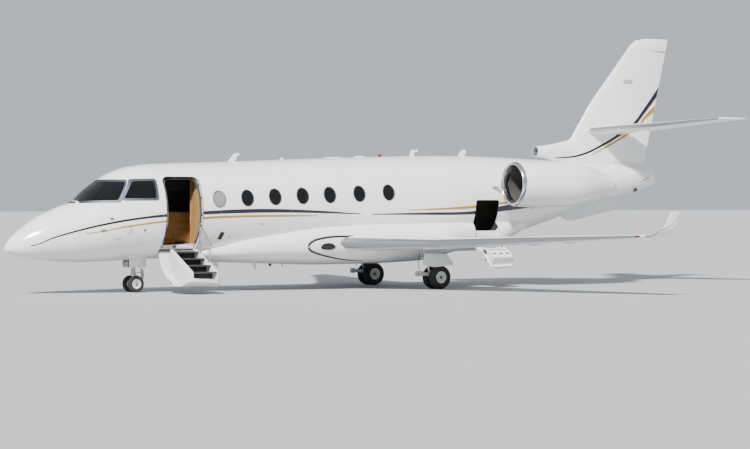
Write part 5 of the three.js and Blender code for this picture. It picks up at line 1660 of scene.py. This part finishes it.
tyreRubber = rubberMaterial("tyre_rubber", (0.009, 0.009, 0.01), 0.74)
alloy = liningMaterial("wheel_enamel", (0.62, 0.62, 0.61), (0.74, 0.74, 0.73), 0.3)
gearPaint = liningMaterial("gear_paint", (0.5, 0.51, 0.52), (0.58, 0.59, 0.6), 0.35)
lensGlass = glassMaterial("lamp_glass", (0.92, 0.94, 0.95))
makeNoseGear()
makeMainGear()
print("gear made")


# Small parts


# Half width of the belly fairing at a station and a height.
def fairingAt(station, z, inset=0.0):
    half, belt, bottom, top = smoothRows(fairing["sections"], station)[0]
    tall, power = ((top - belt), 2.0) if z > belt else ((belt - bottom), fairing["squareness"])
    share = min(1.0, abs(z - belt) / tall)
    return float((half - inset) * (1 - share**power) ** (1 / power))


def blade(outline, half):
    return prism(rounded(outline, 0.02, 4), -half, half)


def dome(x0, x1, base, height, width):
    a, b = np.linspace(0, np.pi / 2, 8)[:, None], circle(36)
    x = (x0 + x1) / 2 + (x1 - x0) / 2 * np.cos(a) * np.cos(b)
    y, z = width * np.cos(a) * np.sin(b), base + height * np.sin(a) + 0 * b
    return grid(np.stack([x, y, z], -1), ends=True)


def makeAntennas():
    top = lambda x: float(smoothRows(fuselage["sections"], x)[0][0]) - 0.006
    bottom = lambda x: float(smoothRows(fairing["sections"], x)[0][2]) + 0.01
    front = [(5.74, top(5.74)), (5.93, top(5.93)), (6.0, 3.26), (6.07, 3.3), (6.05, 3.345), (5.93, 3.335)]
    rear = [(10.88, top(10.88)), (11.02, top(11.02)), (11.0, 3.41), (11.13, 3.43), (11.12, 3.475),
            (10.94, 3.47), (10.91, 3.44)]
    swept = [(12.3, top(12.3)), (12.52, top(12.52)), (12.56, 3.47), (12.5, 3.49), (12.44, 3.485)]
    small = [(7.16, top(7.16)), (7.26, top(7.26)), (7.27, 3.245), (7.22, 3.25)]
    blades = together(blade(front, 0.009), blade(rear, 0.009), blade(swept, 0.01), blade(small, 0.006))
    piece("top_antennas", blades, plainPaint, bevel=0.005)
    domes = together(dome(8.385, 9.01, top(8.7), 0.03, 0.11), dome(9.26, 9.6, top(9.43), 0.035, 0.08))
    piece("antenna_domes", domes, plainPaint)
    beacon = turned([(0, 0.045), (0.03, 0.045), (0.06, 0.036), (0.078, 0.018), (0.082, 0.0005)],
                    (10.0, 0, top(10.0)), "z", 32, True)
    low = turned([(0, 0.045), (-0.03, 0.045), (-0.055, 0.034), (-0.07, 0.0005)],
                 (6.9, 0, bottom(6.9)), "z", 32, True)
    piece("beacons", together(beacon, low), redLens)
    mast = blade([(6.4, bottom(6.4)), (6.5, bottom(6.5)), (6.52, 0.5), (6.48, 0.49)], 0.008)
    fork = blade([(5.3, bottom(5.3)), (5.46, 0.7), (5.5, 0.56), (5.45, 0.56)], 0.008)
    piece("belly_antennas", together(mast, fork), plainPaint, bevel=0.004)
    drain = tube([(7.05, -0.35, 0.64), (7.05, -0.35, 0.6), (7.09, -0.35, 0.56)], 0.012, 14)
    piece("drain_mast", drain, darkMetal)


# An oval plate that lies on the skin.
def skinPlate(name, x, z, half, material, side=-1, proud=0.003):
    piece(name, layer(x - half[0] - 0.05, x + half[0] + 0.05, proud, -0.006, 0.02), material,
          keeps=[sided(ovalOutline((x, z), half, 28), side, skinAt(x, z) - 0.15, widest)])


def makeSkinParts():
    slanted = rounded([(4.995, 1.265), (5.105, 1.245), (5.155, 1.425), (5.045, 1.445)], 0.02)
    piece("vent_oblong", layer(4.9, 5.25, 0.003, -0.006, 0.02), bayLining,
          keeps=[sided(slanted, -1, 0.6, widest)])
    skinPlate("vent_dot", 5.3, 1.33, (0.018, 0.018), bayLining)
    skinPlate("static_port_plate", 2.3, 1.756, (0.045, 0.035), polished, proud=0.0015)
    skinPlate("static_port", 2.335, 1.756, (0.016, 0.02), bayLining)
    skinPlate("drain_port", 3.1, 1.489, (0.022, 0.03), bayLining)
    for name, side in bothSides:
        for k, (x, z) in enumerate(((2.72, 1.6), (2.5, 1.3))):
            y = skinAt(x, z) * side
            shape = ((0, -0.004, 0), (0.02, 0.07, 0.01), (0.06, 0.085, 0.012), (0.2, 0.088, 0.012))
            mast = filleted([(x - back, y + side * out, z - drop) for back, out, drop in shape], 0.05)
            radius = np.interp(np.linspace(0, 1, len(mast)), [0, 0.6, 1], [0.018, 0.011, 0.007])
            piece("pitot_%s_%d" % (name, k + 1), tube(mast, radius, 16), steel)
        x, z = 2.05, 1.5
        y = skinAt(x, z) * side
        outline = np.array([(-0.01, -0.018), (0.11, -0.012), (0.11, 0.012), (-0.01, 0.018)]) + [x, z]
        vane = prism(rounded(outline, 0.006, 3), *sorted((y + side * 0.035, y + side * 0.041)))
        post = tube([(x, y - side * 0.003, z), (x, y + side * 0.04, z)], 0.009, 14)
        piece("flow_vane_" + name, together(vane, post), steel)
        skinPlate("ice_light_" + name, 6.1, 1.62, (0.055, 0.035), lensGlass, side)


# A bead of sealant round the nose of each wing's root fairing, and the lamp in it.
def makeRootFairings():
    path = np.array([(9.9, 1.3), (9.55, 1.304), (9.2, 1.307), (8.8, 1.31), (8.3, 1.309), (7.975, 1.302),
                     (7.7, 1.27), (7.449, 1.207), (7.335, 1.13), (7.308, 1.066), (7.345, 1.005),
                     (7.42, 0.955), (7.57, 0.903), (7.85, 0.835), (8.179, 0.775), (8.6, 0.725), (9.0, 0.7)])
    along = bent(np.column_stack([path[:, 0], np.zeros(len(path)), path[:, 1]]), 90)
    along[:, 1] = [fairingAt(x, z, 0.004) for x, _, z in along]
    radius = 0.01 + 0.018 * np.clip(np.sin(np.pi * np.linspace(0, 1, 90)), 0, 1) ** 0.6
    lens = {"x": 7.84, "z": 1.045, "half": (0.2, 0.105)}
    b = circle(48)
    for name, side in bothSides:
        piece("root_bead_" + name, tube(along * [1, side, 1], radius, 12), rubber)
        rings = []
        for k, depth in ((1.0, -0.02), (1.0, 0.004), (0.75, 0.012), (0.4, 0.016), (0.05, 0.017)):
            x = lens["x"] + lens["half"][0] * k * np.cos(b)
            z = lens["z"] + lens["half"][1] * k * np.where(np.sin(b) < 0, 0.55, 1.0) * np.sin(b)
            y = np.array([fairingAt(p, q) + depth for p, q in zip(x, z)]) * side
            rings.append(np.stack([x, y, z], -1))
        piece("landing_lamp_" + name, grid(np.array(rings), ends=True), darkLens)
        rim = np.vstack([rings[1], rings[1][:2]])
        piece("landing_lamp_rim_" + name, tube(rim, 0.007, 10), frameMetal)


# Thin rods behind a trailing edge, at several distances out.
def wicks(rows, outs, side, length, fall):
    rods = []
    for out in outs:
        _, trailing, z, _ = straightRows(rows, out)
        rods.append(tube([(trailing - 0.01, side * out, z), (trailing + length, side * out, z - fall)],
                         0.003, 8))
    return together(*rods)


def makeWingParts():
    tracks = [(3.05, 0.42), (4.55, 0.34), (5.75, 0.3)]
    for name, side in bothSides:
        shapes = []
        for out, length in tracks:
            leading, trailing, z, ratio = straightRows(wing["rows"], out)
            x = trailing - 0.3 + np.linspace(-length, length * 0.62, 22)
            u = np.linspace(0, 1, 22)[:, None]
            b = circle(24)
            size = np.sin(np.pi * np.clip(u, 0.004, 0.996)) ** 0.7
            y = side * out + 0.045 * size * np.cos(b)
            low = z - (trailing - leading) * ratio * 0.22
            shapes.append(grid(np.stack([x[:, None] + 0 * b, y, low + 0.075 * size * np.sin(b)], -1),
                               ends=True))
        piece("flap_tracks_" + name, together(*shapes), plainPaint)
        piece("static_wicks_" + name, wicks(wing["rows"], (6.4, 7.0, 7.6, 8.0), side, 0.11, 0.004), rubber,
              "aileron_panel_" + name)
        out, x = np.array([(8.16, 11.944), (8.23, 11.981), (8.3, 12.014), (8.37, 12.046)]).T
        z = straightRows(wing["rows"], out)[:, 2]
        lamp = tube(np.stack([x, side * out, z], -1), [0.01, 0.018, 0.018, 0.01], 20)
        piece("nav_light_" + name, lamp, redLens if side < 0 else greenLens)
        fence = []
        for out in (3.6, 4.1, 4.6, 5.1, 5.6):
            leading, trailing, z, ratio = straightRows(wing["rows"], out)
            chord = trailing - leading
            top = z + chord * ratio * foilThickness(0.62)
            fence.append(prism([(leading + 0.6 * chord, top - 0.004), (leading + 0.63 * chord, top - 0.004),
                                (leading + 0.63 * chord, top + 0.02)],
                               side * out - 0.0015, side * out + 0.0015))
        piece("vortex_tabs_" + name, together(*fence), plainPaint)


def makeTailParts():
    x, z = 17.76, 2.475
    place = (x, -skinAt(x, z, 0.0), z)
    pipe = sleeve(-0.05, 0.03, 0.045, 0.058, place, "y", 32)
    # A near-black plug inside the exhaust pipe stands in for the shade within it: painted shade.
    core = turned([(-0.045, 0.0005), (-0.045, 0.044), (0.01, 0.044), (0.01, 0.0005)], place, "y", 28, True)
    piece("exhaust_port", pipe, hotMetal)
    piece("exhaust_shade_plug", core, bayLining)
    along = np.linspace(0, 1, 24)
    x, z = 17.918 + 0.37 * along, 2.685 + 0.142 * along
    y = np.array([skinAt(a, b, 0.0) for a, b in zip(x, z)])
    for name, side in bothSides:
        half = 0.009 * np.sqrt(np.clip(1 - (2 * along - 1) ** 6, 0.02, 1))
        slot = np.stack([np.stack([x, side * (y + out), z + up * half], -1)
                         for out, up in ((-0.02, -1), (0.0015, -1), (0.0015, 1), (-0.02, 1))], 1)
        piece("tail_slot_" + name, grid(slot, ends=True), bayLining)
    slats = [(17.42 + k * 0.012, 5.305 + k * 0.03) for k in range(4)]
    louvre = together(*(block((x, -0.001, z), (x + 0.3, 0.001, z + 0.012)) for x, z in slats))
    points = louvre[0].copy()
    leading, trailing, ratio = straightRows(fin["rows"], points[:, 2]).T
    chord = trailing - leading
    points[:, 1] = 2.5 * points[:, 1] - chord * ratio * foilThickness((points[:, 0] - leading) / chord) - 0.0015
    piece("fin_louvre", (points, *louvre[1:]), louvreMetal)
    strobe = turned([(0, 0.022), (0.05, 0.02), (0.075, 0.01), (0.08, 0.0005)], (18.44, 0, 2.862), "x", 24, True)
    piece("tail_light", strobe, lensGlass)
    for name, side in bothSides:
        piece("elevator_wicks_" + name, wicks(tail["rows"], (1.6, 2.2, 2.8, 3.2), side, 0.03, 0.002), rubber,
              "elevator_panel_" + name)
        corners = np.array([(12.66, -0.03), (12.66, 0.07), (12.74, 0.15), (12.84, 0.15), (12.84, -0.03)])
        corners += [0, skinAt(12.75, 2.54)]
        vane = mirrored(prism(rounded(corners, 0.01, 3), 2.53, 2.542, "z"), side)
        piece("side_vane_" + name, vane, seamMetal)
        y, z = side * engine["y"], engine["z"]
        foot = block((13.3, y - 0.03, z - 0.635), (13.44, y + 0.03, z - 0.57))
        piece("cowl_drain_" + name, foot, polished, bevel=0.008)


def lensMaterial(name, color):
    s = Shader(name, Transmission_Weight=0.55, IOR=1.5)
    s.set(Base_Color=s.mix(s.noise(40.0), color, [c * 0.7 for c in color]),
          Roughness=s.noise(20.0) * 0.1 + 0.08)
    return s.bump(s.noise(300.0, 1.0), 0.0008)


redLens = lensMaterial("red_lens", (0.3, 0.012, 0.01))
greenLens = lensMaterial("green_lens", (0.01, 0.35, 0.1))
darkLens = lensMaterial("dark_lens", (0.02, 0.021, 0.024))
louvreMetal = metalMaterial("louvre_metal", (0.13, 0.135, 0.145), 0.45)
makeAntennas()
makeSkinParts()
makeRootFairings()
makeWingParts()
makeTailParts()
print("small parts made")


# Floor, light and camera


def makeStage():
    size = 400
    corners = np.array([[(-size, -size, 0), (size, -size, 0)], [(-size, size, 0), (size, size, 0)]], float)
    floor = rawObject("floor", grid(corners, wrapColumns=False))
    s = Shader("floor_finish", Roughness=0.85)
    s.set(Base_Color=s.mix(s.noise(0.6), (0.4, 0.41, 0.43), (0.44, 0.45, 0.47)))
    floor.data.materials.append(s.material)
    world = bpy.context.scene.world or bpy.data.worlds.new("sky")
    bpy.context.scene.world = world
    world.use_nodes = True
    sky = world.node_tree.nodes["Background"]
    sky.inputs[0].default_value = (0.74, 0.79, 0.86, 1)
    sky.inputs[1].default_value = 0.8
    sun = bpy.data.lights.new("sun", "SUN")
    sun.energy, sun.angle, sun.color = 8.5, math.radians(6), (1.0, 0.97, 0.92)
    lamp = bpy.data.objects.new("sun", sun)
    lamp.rotation_euler = Vector((0.62, 0.6, -0.78)).to_track_quat("-Z", "Y").to_euler()
    bpy.context.scene.collection.objects.link(lamp)


def makeCamera():
    view = {"place": (-29.6095, -52.6718, 2.1804), "yaw": 0.517651, "pitch": -0.00986957, "lens": 115.596}
    data = bpy.data.cameras.new("camera")
    data.lens, data.sensor_width, data.clip_end = view["lens"], 36.0, 1000
    camera = bpy.data.objects.new("camera", data)
    level = math.cos(view["pitch"])
    ahead = Vector((math.sin(view["yaw"]) * level, math.cos(view["yaw"]) * level, math.sin(view["pitch"])))
    camera.location = view["place"]
    camera.rotation_euler = ahead.to_track_quat("-Z", "Y").to_euler()
    bpy.context.scene.collection.objects.link(camera)
    bpy.context.scene.camera = camera


makeStage()
makeCamera()
print("stage and camera made")
